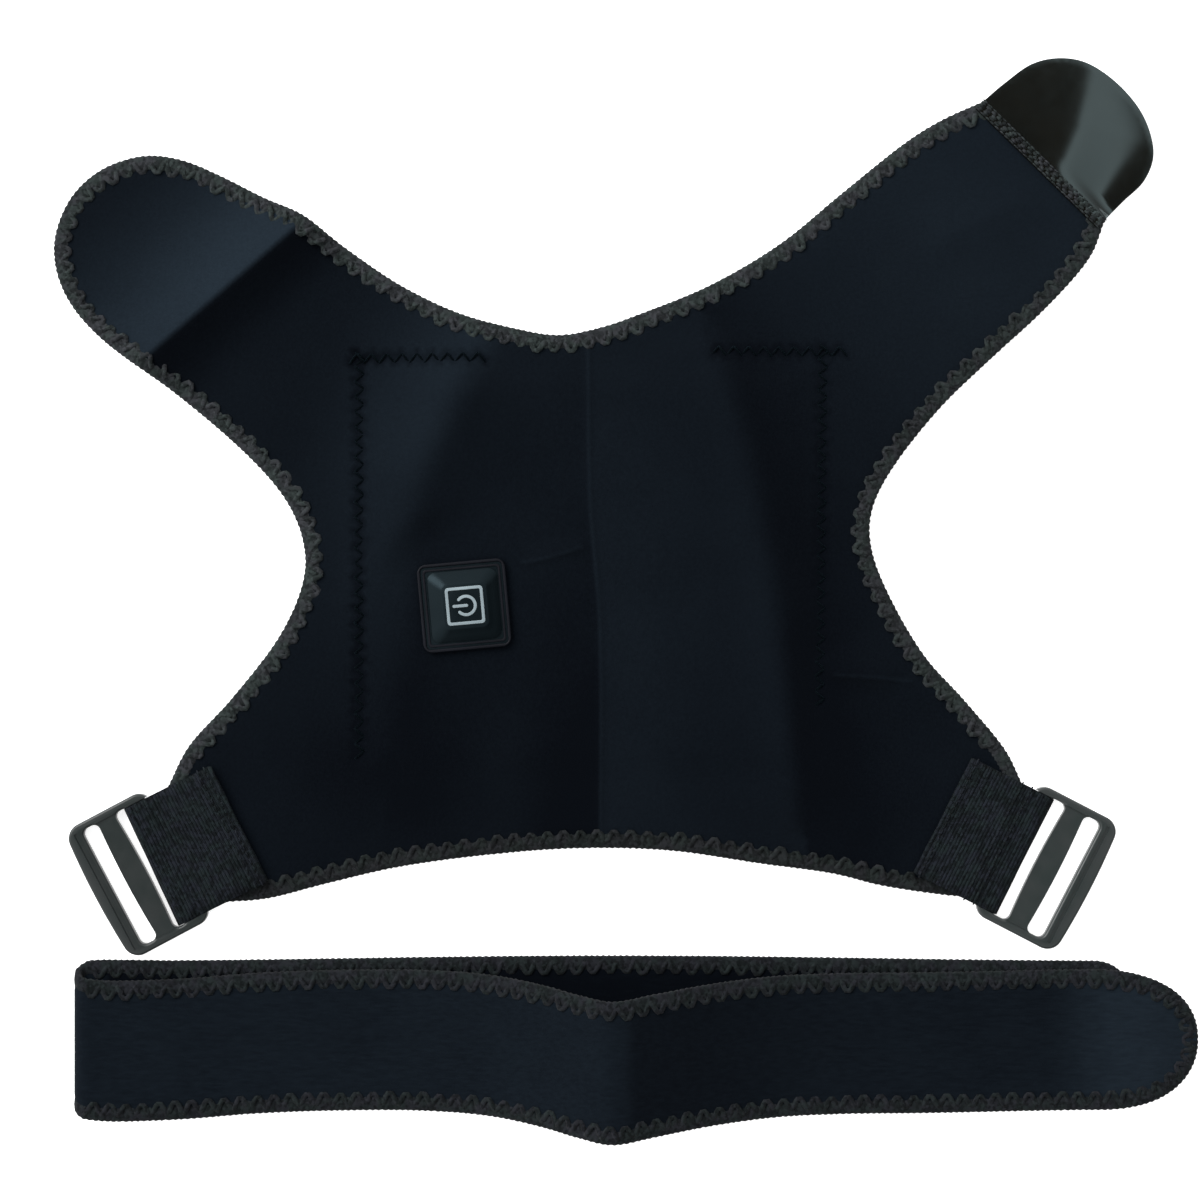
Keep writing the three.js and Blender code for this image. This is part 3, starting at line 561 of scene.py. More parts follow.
# ---- cloth panel ----
panel = {"corner": (-220.697, -118.479), "width": 405, "height": 309, "floor": 0.45, "thickness": 2.7, "edgeThin": 0.5,
         "cell": 2.1, "pocketRise": 0.8, "pocketEdge": 14, "edgeFade": 16, "cover": 1.2}
# Cloth edges as shares of the panel's width and height, counter-clockwise from the hook tab's seam
neckPlaces = [(0.884, 0.998), (0.842, 0.973), (0.804, 0.941), (0.747, 0.881), (0.69, 0.82), (0.624, 0.769),
              (0.557, 0.733), (0.519, 0.716), (0.481, 0.707), (0.443, 0.714), (0.386, 0.734), (0.33, 0.769),
              (0.277, 0.816), (0.239, 0.854), (0.201, 0.877), (0.159, 0.905), (0.121, 0.925), (0.083, 0.929),
              (0.043, 0.91), (0.014, 0.871), (0.001, 0.815), (0.012, 0.756), (0.047, 0.701), (0.116, 0.634),
              (0.178, 0.565), (0.218, 0.507), (0.237, 0.452), (0.237, 0.398), (0.214, 0.33), (0.17, 0.255),
              (0.13, 0.197), (0.109, 0.144)]
hemPlaces = [(0.164, 0.001), (0.206, 0.006), (0.263, 0.025), (0.33, 0.045), (0.415, 0.06), (0.5, 0.068),
             (0.586, 0.065), (0.671, 0.049), (0.738, 0.037), (0.785, 0.022), (0.833, 0.012), (0.867, 0.007)]
underarmPlaces = [(0.921, 0.146), (0.903, 0.193), (0.865, 0.253), (0.828, 0.307), (0.797, 0.375), (0.778, 0.437),
                  (0.778, 0.489), (0.799, 0.544), (0.842, 0.615), (0.89, 0.676), (0.942, 0.739), (0.983, 0.8),
                  (0.999, 0.85)]
# Folds: crest line, rise, how far it runs out to the left and right of its travel, and its sharpness
folds = [
    {"line": [(0.076, 0.661), (0.163, 0.76), (0.25, 0.859)], "rise": 6.2, "left": 34, "right": 22, "sharp": 1.5},
    {"line": [(0.338, 0.38), (0.346, 0.5), (0.388, 0.63)], "rise": 3.2, "left": 38, "right": 30, "sharp": 1.3},
    {"line": [(0.705, 0.15), (0.686, 0.365), (0.663, 0.545), (0.634, 0.66)], "rise": 3.4, "left": 38, "right": 28,
     "sharp": 1.3},
    {"line": [(0.79, 0.285), (0.74, 0.29), (0.715, 0.3)], "rise": 1.8, "left": 8, "right": 14, "sharp": 1.2},
    {"line": [(0.27, 0.375), (0.29, 0.37)], "rise": 1.2, "left": 9, "right": 9, "sharp": 1.4},
    {"line": [(0.448, 0.43), (0.5, 0.446)], "rise": 0.9, "left": 5, "right": 6, "sharp": 1.3},
    {"line": [(0.85, 0.83), (0.93, 0.88)], "rise": 1.4, "left": 22, "right": 22, "sharp": 1.6},
]
# Each crease: a fine ridge of that rise, and a painted highlight (light) along it
creases = [{"line": [(0.508, 0.69), (0.51, 0.5), (0.519, 0.35), (0.52, 0.07)], "rise": 0.45, "light": 0.14},
           {"line": [(0.448, 0.424), (0.47, 0.43), (0.5, 0.442)], "rise": 0.4, "light": 0.12},
           {"line": [(0.745, 0.284), (0.78, 0.281), (0.815, 0.276)], "rise": 0.4, "light": 0.1}]
creaseHalf = 1.2  # half width of a crease's fine ridge
# Pocket seams, as shares of the panel
pocketSeams = [[(0.291, 0.677), (0.291, 0.184)], [(0.289, 0.677), (0.405, 0.679)],
               [(0.632, 0.686), (0.747, 0.686)], [(0.731, 0.686), (0.727, 0.253)]]
pocketLow, pocketHigh, switchPlace, switchFlat = (0.288, 0.15), (0.728, 0.676), (0.391, 0.37), 26


def onPanel(places):
    return np.array(places, float) * (panel["width"], panel["height"]) + panel["corner"]


def smoothLine(row):
    return throughPoints(onPanel(row["line"]), 4.0, 0.5)


zigzag = {"pitch": 5.8, "height": 3.7, "yarn": 0.95, "dent": 0.8, "dentReach": 1.7, "depths": (0.8, 0.9, 0.5, 0.35)}


def seamRun(seam):  # a pocket seam cut to whole stitches, and the zigzag that its thread follows
    start, end = onPanel(seam)
    count = int(round(np.hypot(*(end - start)) / zigzag["pitch"]))
    step = (end - start) / np.hypot(*(end - start)) * zigzag["pitch"] * 1.0001
    sideways = np.array([-step[1], step[0]]) / zigzag["pitch"] * zigzag["height"] / 2
    turns = [start + step * (k / 2 - 0.5) + sideways * (1 if k % 2 else -1) for k in range(2 * count + 3)]
    return np.array([start, start + step * count]), np.array(turns)




railStep = 1.5
edges = {"neck": throughPoints(onPanel(neckPlaces), railStep), "hem": throughPoints(onPanel(hemPlaces), railStep),
         "underarm": throughPoints(onPanel(underarmPlaces), railStep)}
seamStart, seamEnd = edges["neck"][0], edges["underarm"][-1]
seamRuns = [seamRun(seam) for seam in pocketSeams]
switchCentre = onPanel([switchPlace])[0]
edgeStations = np.vstack([line[::5] for line in edges.values()]
                         + [seamStart + (seamEnd - seamStart) * share for share in np.linspace(0.1, 0.9, 9)])


def bell(xy, fold):
    distance, side = toLine(xy, smoothLine(fold))
    reach = np.where(side > 0, fold["right"], fold["left"])
    share = np.clip(distance / reach, 0, 1)
    return fold["rise"] * (1 - smooth(share ** (1 / fold["sharp"]), 0, 1))


def liftAt(xy):  # height of the cloth's underside over the floor
    ridge, others = bell(xy, folds[0]), np.zeros(len(xy))
    for fold in folds[1:]:
        others = np.maximum(others, bell(xy, fold))
    toEdge = np.sqrt(((xy[:, None] - edgeStations[None]) ** 2).sum(axis=2)).min(axis=1)
    toSwitch = np.hypot(*(xy - switchCentre).T)
    calm = smooth(toEdge, 5.4, 5.4 + panel["edgeFade"]) * smooth(toSwitch, switchFlat, 1.6 * switchFlat)
    return np.maximum(ridge, others * calm) + panel["floor"]


def clothTop(xy):
    low, high = onPanel([pocketLow, pocketHigh])
    inPocket = np.minimum(xy - low, high - xy).min(axis=1)
    top = liftAt(xy) + panel["thickness"] + panel["pocketRise"] * smooth(inPocket, 0, panel["pocketEdge"])
    for crease in creases:
        top += crease["rise"] * (1 - smooth(toLine(xy, smoothLine(crease))[0], 0, creaseHalf))
    for (_, turns), depth in zip(seamRuns, zigzag["depths"]):
        top -= zigzag["dent"] * depth * (1 - smooth(toLine(xy, turns)[0], 0.3, zigzag["dentReach"]))
    toEdge = np.minimum.reduce([toLine(xy, line[::4])[0] for line in edges.values()])
    return top - panel["edgeThin"] * (1 - smooth(toEdge, 3, 8.5))


# Base tone with painted light and shade, 0 dark to 1 light: beside the folds, what each line adds on its left and
# right, at its start and its end
# shoulder lightens towards the upper right, hem darkens towards the hem, seam is painted shade in the zigzag dents
toneAndPaintedShade = {"base": 0.13, "hem": 0.04, "shoulder": 0.2, "least": 0.0, "seam": 0.2}
paintedFoldShadeLines = [
    {"line": [(0.076, 0.661), (0.163, 0.76), (0.25, 0.859)], "left": (0.56, 0.76), "right": (-0.13, -0.13),
     "near": 1.6, "leftReach": 66, "rightReach": 34},
    {"line": [(0.32, 0.16), (0.334, 0.377), (0.341, 0.484), (0.381, 0.62), (0.425, 0.72)], "left": (-0.08, 0.42),
     "right": (-0.12, 0.03), "near": 9, "leftReach": 58, "rightReach": 50},
    {"line": [(0.52, 0.07), (0.519, 0.35), (0.51, 0.5), (0.508, 0.71)], "left": (-0.15, 0.03), "right": (0.12, 0.07),
     "near": 1.5, "leftReach": 45, "rightReach": 60},
    {"line": [(0.712, 0.1), (0.686, 0.365), (0.663, 0.545), (0.622, 0.72)], "left": (0.05, 0.03), "right": (-0.14, -0.1),
     "near": 7, "leftReach": 24, "rightReach": 60},
]


# Base tone, painted light and shade beside the folds, a painted highlight on each crease and painted shade in the seam
# dents
def napAt(xy):
    shares = (xy - panel["corner"]) / (panel["width"], panel["height"])
    tone = toneAndPaintedShade["base"] + toneAndPaintedShade["shoulder"] * smooth(shares.sum(axis=1), 1.25, 1.7)
    tone -= toneAndPaintedShade["hem"] * (1 - smooth(shares[:, 1], 0.15, 0.45))
    for row in paintedFoldShadeLines:
        line = smoothLine(row)
        distance, side = toLine(xy, line)
        rightward = smooth(distance * side, -row["near"], row["near"])
        way = np.clip((xy - line[0]) @ (line[-1] - line[0]) / ((line[-1] - line[0]) @ (line[-1] - line[0])), 0, 1)
        for part, share, reach in (("left", 1 - rightward, row["leftReach"]), ("right", rightward, row["rightReach"])):
            start, end = row[part]
            tone += share * (start + (end - start) * way) * (1 - smooth(distance, 0, reach))
    # a painted highlight along each crease's ridge
    for crease in creases:
        tone += crease["light"] * (1 - smooth(toLine(xy, smoothLine(crease))[0], 0, creaseHalf))
    # painted shade in the dents of the zigzag seams
    for (_, turns), depth in zip(seamRuns, zigzag["depths"]):
        tone -= toneAndPaintedShade["seam"] * depth * (1 - smooth(toLine(xy, turns)[0], 0.9, 2.4))
    return np.clip(tone, toneAndPaintedShade["least"], 1.4)


outline = np.vstack([line + leftOf(line) * panel["cover"] for line in edges.values()])
outline = evenly(outline, railStep, closed=True)
features = [evenly(turns, 1.2) for _, turns in seamRuns]
for line, offsets in [(smoothLine(crease), (-creaseHalf, 0, creaseHalf)) for crease in creases] + [
        (smoothLine(folds[0]), (-2.4, -1.2, 0, 1.2, 2.4))]:
    line = evenly(line, 1.6)
    features += [line + leftOf(line) * offset for offset in offsets]
flat, faces = fillOutline(outline, panel["cell"], features)
backPanel = sheetPiece("panel_cloth", flat, faces, liftAt(flat), clothTop(flat), cloth, {"toneAndPaintedShade": napAt(flat)})

# ---- stitched edge binding ----
binding = {"roll": 5.9, "rollLow": 0.2, "rollHigh": 3.3, "wrapPitch": 0.75, "archPitch": 6.3, "archInset": 2.6,
           "yarn": 2.1, "yarnHeight": 0.85}
# One overlock stitch: a thread bundle from the edge in to the needle line and back, its legs side by side
archPath = [(-3.3, -0.6, -0.1), (-2.5, 0.7, 0.3), (-1.7, 1.8, 0.4), (-1.35, 2.9, 0.4), (-0.8, 3.75, 0.36), (0, 4.0, 0.38),
            (0.8, 3.75, 0.34), (1.35, 2.9, 0.36), (1.7, 1.8, 0.34), (2.5, 0.7, 0.3), (3.3, -0.6, -0.1)]


def archOf(material):
    return stitchShape("arch", [archPath], binding["yarn"], binding["yarnHeight"], material, 6, 1.35)


archStitch, beltStitch = archOf(neckThread), archOf(beltThread)


def flatRail(line, height, closed=False, inset=0.0):  # a rail on the cloth, its inward to the left
    inward = leftOf(line, closed)
    xy = line[:, :2] + inward * inset
    up = np.tile([0.0, 0.0, 1.0], (len(xy), 1))
    return {"at": np.column_stack([xy, height(xy)]), "inward": np.column_stack([inward, np.zeros(len(xy))]), "up": up}


# The shade is a painted highlight on the swollen rings and painted shade between them, with some spread at random
def wraps(count, sides):  # swell of each ring, and its shade on each of its points, where thread wraps an edge
    wave = np.sin(np.arange(count) * 2 * math.pi / 3 + np.cumsum(rng.normal(0, 0.25, count)))
    return 1 + 0.07 * wave, np.repeat(np.clip(0.35 + 0.4 * wave + rng.normal(0, 0.15, count), 0, 1), sides)


def boundEdge(name, line, trim, node, yarn):
    rolled = evenly(line, binding["wrapPitch"])
    rail = flatRail(rolled, liftAt)
    rail["at"][:, 2] -= panel["floor"]
    section = roundSection(0, binding["roll"], binding["rollLow"], binding["rollHigh"], 12, 3)
    swell, shade = wraps(len(rolled), 12)
    roll = skin(name + "_roll", sweep(rail, section, swell), yarn, sharp=180, values={"shade": shade})
    first, last = int(trim[0] / railStep), len(line) - int(trim[1] / railStep)
    line = line[first:last]
    over = flatRail(line, clothTop, inset=binding["archInset"])
    over["at"][:, 2] += 0.2
    under = flatRail(line[::-1], liftAt, inset=-binding["archInset"])
    under["at"][:, 2] += 0.3
    under["up"] *= -1
    arches = [repeatAlong(name + tag, rail, archStitch, yarn, binding["archPitch"], wobble=0.1, tilt=0.12, seed=seed)
              for tag, rail, seed in (("_over", over, 5), ("_under", under, 9))]
    piece = joined(name, [roll, *arches])
    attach(piece, "root")
    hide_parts(node)
    return piece


neckBinding = boundEdge("neck_binding", edges["neck"], (2, 19), "edge_binding_neck", neckThread)
hemBinding = boundEdge("hem_binding", edges["hem"], (19, 23), "edge_binding_hem", hemThread)
underarmBinding = boundEdge("underarm_binding", edges["underarm"], (23, 2), "edge_binding_underarm",
                             underarmThread)
print("bindings", [len(o.data.polygons) for o in (neckBinding, hemBinding, underarmBinding)])

# ---- pocket seams: zigzag stitches ----
half, rise = zigzag["pitch"] / 2, zigzag["height"] / 2
zigStitch = stitchShape("zig", [[(-half, -rise, -0.2), (-half / 2, 0, 0.28), (0, rise, -0.2)],
                                [(0, rise, -0.2), (half / 2, 0, 0.28), (half, -rise, -0.2)]], zigzag["yarn"], 0.6, pocketThreadAndDentShade)
seams = [repeatAlong("seam" + str(i), flatRail(evenly(run, 2), clothTop), zigStitch, pocketThreadAndDentShade, zigzag["pitch"],
                     wobble=0.02, tilt=0.02, seed=11 + i) for i, (run, _) in enumerate(seamRuns)]
pocketSeam = joined("pocket_stitches", seams)

# ---- hook tab ----
tab = {"reach": 40.6, "lap": 4.8, "thickness": 0.9, "over": 3.35, "fall": 0.25, "cell": 1.4, "rim": 0.7, "low": 0.15,
       "slope": 0.085, "steeper": 0.115, "soft": 1.6, "settle": 0.28}
tabBend = [(42, -2), (38.5, 6), (32.8, 19.4), (25.5, 31), (16, 44)]  # where the film bends down, from its seam outwards
tabPlaces = [(0, 0), (0.014, 0.247), (0.049, 0.555), (0.146, 0.789), (0.293, 0.941), (0.514, 1), (0.738, 0.955),
             (0.925, 0.785), (1.003, 0.536), (1.001, 0.254), (1, 0)]
seamVector = seamEnd - seamStart
seamLength = float(np.hypot(*seamVector))
seamTurn = math.atan2(seamVector[1], seamVector[0])
tabMatrix = Matrix.Translation((*(seamStart * mm), 0)) @ Matrix.Rotation(seamTurn, 4, "Z")
tabEdge = throughPoints([(x * seamLength, y * tab["reach"]) for x, y in tabPlaces], 1.2)
tabOutline = evenly(np.vstack([tabEdge, [(seamLength, -tab["lap"]), (0, -tab["lap"])]]), 1.2, closed=True)
tabFlat, tabFaces = fillOutline(tabOutline, tab["cell"])
tabRim = toLine(tabFlat, np.vstack([tabOutline, tabOutline[:1]]))[0]


def tabUnder(xy):  # flat out from the seam, then bent down until it lies on the floor
    distance, side = toLine(xy, np.array(tabBend, float))
    beyond = tab["soft"] * np.logaddexp(0, distance * side / tab["soft"])
    out = np.clip(xy[:, 1] / tab["reach"], 0, 1)
    sewn = smooth(xy[:, 1], -1, 5)
    slope = tab["slope"] + tab["steeper"] * (1 - out)
    height = tab["over"] - tab["fall"] * out - sewn * slope * beyond
    return tab["low"] + tab["settle"] * np.logaddexp(0, (height - tab["low"]) / tab["settle"])


tabTop = tabUnder(tabFlat) + tab["thickness"] - 0.05 * (1 - smooth(tabRim, 0, tab["rim"]))
hookTab = sheetPiece("hook_tab_film", tabFlat, tabFaces, tabUnder(tabFlat), tabTop, film, sharp=80)
hookTab.data.transform(tabMatrix)


def straightRail(start, end, height, count=40):
    line = np.linspace(start, end, count)
    return {"at": np.column_stack([line, height(line)]), "up": np.tile([0.0, 0.0, 1.0], (count, 1))}


lockPath = [[(-1.25, 0, -0.2), (-0.6, 0, 0.14), (0.6, 0, 0.14), (1.25, 0, -0.2)]]
lockStitch = stitchShape("lock", lockPath, 0.7, 0.5, tabThread)
innerStitch = stitchShape("inner", lockPath, 1.3, 0.4, tabInner)
tabSurface = lambda xy: tabUnder(xy) + tab["thickness"] + 0.05
tabRows = [(-0.2, lockStitch, tabThread, 2.5), (-4.3, lockStitch, tabThread, 2.5), (-1.2, innerStitch, tabInner, 2.7),
           (-2.3, innerStitch, tabInner, 3.1), (-3.3, innerStitch, tabInner, 2.9)]
tabSeams = [repeatAlong("tabSeam" + str(i), straightRail((0.8, y), (seamLength - 0.8, y), tabSurface), stitch, yarn,
                        pitch, seed=21 + i) for i, (y, stitch, yarn, pitch) in enumerate(tabRows)]
tabStitches = joined("tab_stitches", tabSeams)
tabStitches.data.transform(tabMatrix)
print("tab made")

# ---- slides and webbing at the lower corners ----
slide = {"length": 56, "arm": 3, "outerBar": 6.1, "bow": 1.3, "wideSlot": 7.1, "middleBar": 7.2, "bulge": 0.9,
         "innerThick": 2.2, "ear": 1.8, "corner": 5.5, "bevel": 1.0, "slotCorner": 2.6, "recess": 0.7,
         "grooveIn": 2.0, "groove": 1.2, "grooveDepth": 0.5}
webbing = {"width": 49.9, "thickness": 1.2, "gap": 0.3, "clothTop": 3.0, "ribPitch": 1.3, "ribHeight": 0.5,
           "core": 0.7}
corners = [
    {"side": "left", "from": edges["neck"][-1], "to": edges["hem"][0], "barReach": 16.1, "overlap": 18,
     "seams": (-16.2, -13.4), "innerBar": 7, "webSlot": 6.3, "across": 0.97, "turn": 1.2, "lean": 1.5},
    {"side": "right", "from": edges["hem"][-1], "to": edges["underarm"][0], "barReach": 10.5, "overlap": 22,
     "seams": (-0.9, 3.1, -20.2), "innerBar": 4.4, "webSlot": 7.8, "across": 1.04, "turn": -0.4, "lean": 0},
]
slideThick = slide["innerThick"] + 2 * (webbing["thickness"] + webbing["gap"])
slotHalf = slide["length"] / 2 - slide["arm"]


def denser(ring, spacing=1.0):  # more points on a ring's long runs, its own points kept
    out = []
    for a, b in zip(ring, np.roll(ring, -1, axis=0)):
        count = max(int(np.linalg.norm(b - a) / spacing), 1)
        out += [a + (b - a) * k / count for k in range(count)]
    return np.array(out)


def boxCutter(left, right, low, high):
    bm = bmesh.new()
    size = Matrix.Diagonal(((right - left) * mm, 2 * slotHalf * mm, (high - low) * mm, 1))
    bmesh.ops.create_cube(bm, size=1, matrix=Matrix.Translation(((left + right) / 2 * mm, 0, (low + high) / 2 * mm)) @ size)
    mesh = bpy.data.meshes.new("cutter")
    bm.to_mesh(mesh)
    bm.free()
    cutter = bpy.data.objects.new("cutter", mesh)
    bpy.context.scene.collection.objects.link(cutter)
    return cutter


def makeSlide(name, corner, matrix):
    innerBar, middleStart = corner["innerBar"], corner["webSlot"]
    middleEnd = middleStart + slide["middleBar"] * corner["across"]
    wideEnd = middleEnd + slide["wideSlot"] * corner["across"]
    outerEnd = wideEnd + slide["outerBar"] * corner["across"]
    body = denser(roundedRing(-innerBar - slide["ear"], outerEnd, -slide["length"] / 2, slide["length"] / 2,
                              slide["corner"], 10))
    body[:, 0] += np.where(body[:, 0] > wideEnd, slide["bow"] * (1 - (2 * body[:, 1] / slide["length"]) ** 2), 0)
    webRing = denser(roundedRing(0, middleStart, -slotHalf, slotHalf, slide["slotCorner"], 5))
    wideRing = denser(roundedRing(middleEnd, wideEnd, -slotHalf, slotHalf, slide["slotCorner"], 5))
    for ring, inner, sign in ((webRing, middleStart / 2, -1), (wideRing, (middleEnd + wideEnd) / 2, 1)):
        near = ring[:, 0] > inner if sign < 0 else ring[:, 0] < inner
        ring[:, 0] += np.where(near, sign * slide["bulge"] * np.clip(1 - (ring[:, 1] / slotHalf) ** 2, 0, 1), 0)
    piece = slab(name, [body, webRing, wideRing], 0, slideThick, slide["bevel"], slidePlastics[corner["side"]])
    barLow = webbing["thickness"] + webbing["gap"]
    inner, groove = -innerBar - slide["ear"] - 1, wideEnd + slide["grooveIn"]
    for box in ((inner, 1, -1, barLow), (inner, 1, barLow + slide["innerThick"], slideThick + 1),
                (inner, -innerBar, -1, slideThick + 1),
                (1, middleEnd + 3, slideThick - slide["recess"], slideThick + 1),
                (groove, groove + slide["groove"], slideThick - slide["grooveDepth"], slideThick + 1)):
        cutBy(piece, boxCutter(*box))
    piece.data.transform(matrix)
    return piece


def webbingLine(barReach, overlap, innerBar):  # from the upper end round the bar to the lower end
    barMiddle = webbing["thickness"] + webbing["gap"] + slide["innerThick"] / 2
    lower = webbing["clothTop"] + webbing["gap"] + webbing["thickness"] / 2
    upper = lower + webbing["gap"] + webbing["thickness"]
    loop = slide["innerThick"] / 2 + webbing["gap"] + webbing["thickness"] / 2
    barNear = barReach - innerBar
    shares = np.linspace(0, 1, 5)
    easing = smooth(shares, 0, 1)
    top = np.column_stack([0.3 + (barNear - 0.6) * shares, upper + (barMiddle + loop - upper) * easing])
    bottom = np.column_stack([0.3 + (barNear - 0.6) * shares, lower + (barMiddle - loop - lower) * easing])[::-1]
    angle = math.pi * (0.5 - np.linspace(0, 1, 9))
    turn = np.column_stack([barReach + loop * np.cos(angle), barMiddle + loop * np.sin(angle)])
    return np.vstack([[(-overlap, upper)], top, turn, bottom, [(-overlap, lower)]])


def acrossRail(line, offset):  # a rail in the corner's own frame, up away from the strip's middle
    tangent = along(line)
    normal = np.column_stack([-tangent[:, 1], tangent[:, 0]])
    at = line + normal * offset
    zero = np.zeros(len(line))
    return {"at": np.column_stack([at[:, 0], zero, at[:, 1]]), "inward": np.tile([0.0, 1.0, 0.0], (len(line), 1)),
            "up": np.column_stack([normal[:, 0], zero, normal[:, 1]]) * (1 if offset >= 0 else -1)}


ribHalf = webbing["width"] / 2
knots = np.linspace(-ribHalf + 0.4, ribHalf - 0.4, 14)
ribRail = {"at": np.column_stack([np.zeros(14), knots, np.zeros(14)]), "inward": np.tile([1.0, 0.0, 0.0], (14, 1)),
           "up": np.tile([0.0, 0.0, 1.0], (14, 1))}
ribShape = skin("rib", sweep(ribRail, roundSection(-0.85, 0.85, -0.15, 0.15, 4, 2), rng.uniform(0.8, 1.15, 14)), webThread,
                sharp=180)


def makeWebbing(name, corner, matrix):
    line = evenly(webbingLine(corner["barReach"], corner["overlap"], corner["innerBar"]), 0.5)
    middle = acrossRail(line, 0.0)
    half, core = ribHalf, webbing["core"] / 2
    strip = skin(name + "_core", sweep(middle, roundSection(-half, half, -core, core, 16, 8)), webThread, sharp=60,
                 values={"shade": np.repeat(rng.uniform(0.2, 0.5, len(line)), 16)})
    ribs = []
    for i, side in enumerate((1, -1)):
        rail = acrossRail(line, side * (core + 0.06))
        ribs.append(repeatAlong(name + "_ribs" + str(i), rail, ribShape, webThread, webbing["ribPitch"], wobble=0.01,
                                tilt=0.01, seed=31 + i))
    top = webbing["clothTop"] + 2 * (webbing["thickness"] + webbing["gap"]) + 0.12
    for i, x in enumerate(corner["seams"]):
        height = lambda xy: np.full(len(xy), top - 0.12 * max(x, 0))
        ribs.append(repeatAlong(name + "_seam" + str(i), straightRail((x, -half + 0.8), (x, half - 0.8), height),
                                lockStitch, webThread, 2.9, seed=41 + i))
    piece = joined(name, [strip, *ribs])
    leanOut(piece.data, corner)
    piece.data.transform(matrix)
    return piece


def leanOut(mesh, corner):  # the loop reaches further out at the slide's lower end
    points = np.empty(3 * len(mesh.vertices), np.float32)
    mesh.vertices.foreach_get("co", points)
    points = points.reshape(-1, 3)
    low = np.clip(0.5 + points[:, 1] / (webbing["width"] * mm), 0, 1)
    points[:, 0] += corner["lean"] * mm * low * smooth(points[:, 0] / mm, 0, corner["barReach"] - 3)
    mesh.vertices.foreach_set("co", points.ravel())


for corner in corners:
    chord = corner["to"] - corner["from"]
    middle = (corner["to"] + corner["from"]) / 2
    matrix = Matrix.Translation((*(middle * mm), 0)) @ Matrix.Rotation(math.atan2(-chord[0], chord[1]), 4, "Z")
    side = corner["side"]
    slideTurn = Matrix.Rotation(math.radians(corner["turn"]), 4, "Z")
    slidePiece = makeSlide("slide_" + side + "_moulded", corner,
                           matrix @ Matrix.Translation((corner["barReach"] * mm, 0, 0)) @ slideTurn)
    webbingPiece = makeWebbing("webbing_" + side + "_woven", corner, matrix)
    for piece, node, slotName in ((slidePiece, "slide_" + side, "slide"), (webbingPiece, "webbing_" + side, "webbing")):
        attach(piece, "root")
        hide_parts(node)
print("slides and webbing made")

# ---- switch ----
switch = {"side": 34, "corner": 3.6, "plate": 1.6, "rim": 1.3, "rimRise": 0.6, "ledge": 29.9, "ledgeLine": 0.9,
          "foot": 27.2, "rise": 3.4, "lean": 0.45, "turn": 5.2, "ring": 14.5, "ringLine": 1.15, "ringCorner": 1.3, "symbolRadius": 3.55, "symbolLine": 1.15,
          "opening": 84, "bar": 6, "barOut": 2.2, "shift": 0.4, "gap": 0.3, "inlay": 0.4}
seat = float(clothTop(switchCentre[None])[0]) + 0.1
switchMatrix = Matrix.Translation((*(switchCentre * mm), 0)) @ Matrix.Rotation(math.radians(switch["turn"]), 4, "Z")


def squareRing(side, corner, segments=8):
    return roundedRing(-side / 2, side / 2, -side / 2, side / 2, corner, segments)


plate = slab("plate", [squareRing(switch["side"] - 0.8, switch["corner"] - 0.4)], seat, seat + switch["plate"], 0.3, rubber,
             switchMatrix)
rimHoles = [squareRing(switch["side"], switch["corner"]), squareRing(switch["side"] - 2 * switch["rim"], 1.6)]
rim = slab("rim", rimHoles, seat, seat + switch["plate"] + switch["rimRise"], 0.5, rimRubber, switchMatrix)
ledgeRings = [squareRing(switch["ledge"], 1.4), squareRing(switch["ledge"] - 2 * switch["ledgeLine"], 1.0)]
ledge = slab("ledge", ledgeRings, seat + switch["plate"] - 0.5, seat + switch["plate"] + 0.35, 0.25, rimRubber, switchMatrix)
switchBase = joined("switch_base_moulded", [plate, rim, ledge])
keySeat = seat + switch["plate"] + 0.02
# Inset of each section from the foot, its height and its corner
keySections = [(0.0, 0.0, 3.6), (0.05, 0.3, 3.6), (0.5, 0.65, 3.6), (2.4, 1.75, 3.3), (4.2, 2.75, 2.9), (4.7, 3.1, 2.6),
               (5.3, 3.38, 2.2)]
keyRings = [np.column_stack([squareRing(switch["foot"] - 2 * inset, corner, 6)
                             + (switch["lean"] * height / switch["rise"], 0), np.full(28, keySeat + height)])
            for inset, height, corner in keySections]
switchKey = skin("switch_key_moulded", keyRings, rubber, sharp=40)
switchKey.data.transform(switchMatrix)
topMatrix = switchMatrix @ Matrix.Translation((switch["lean"] * mm, 0, 0))
inlayLow = keySeat + switch["rise"] - 0.1
inlayHigh = inlayLow + 0.35
ringPiece = slab("key_ring_print", [squareRing(switch["ring"], switch["ringCorner"]),
                                    squareRing(switch["ring"] - 2 * switch["ringLine"], 0.6)],
                 inlayLow, inlayHigh, 0.1, inlay, topMatrix)
symbolMatrix = topMatrix @ Matrix.Translation((switch["shift"] * mm, 0, 0))
openHalf = math.radians(switch["opening"] / 2)
sweepAngles = np.linspace(math.pi + openHalf, 3 * math.pi - openHalf, 40)


def arcRing(radius, line):  # an open ring's outline with round ends
    def cap(angle, turn):
        centre = radius * np.array([math.cos(angle), math.sin(angle)])
        return [centre + line / 2 * np.array([math.cos(angle + a), math.sin(angle + a)]) for a in turn]
    outer = [((radius + line / 2) * math.cos(a), (radius + line / 2) * math.sin(a)) for a in sweepAngles]
    inner = [((radius - line / 2) * math.cos(a), (radius - line / 2) * math.sin(a)) for a in sweepAngles[::-1]]
    ends = np.linspace(0, math.pi, 8)[1:-1]
    return np.array(outer + cap(sweepAngles[-1], ends) + inner + cap(sweepAngles[0], ends + math.pi))


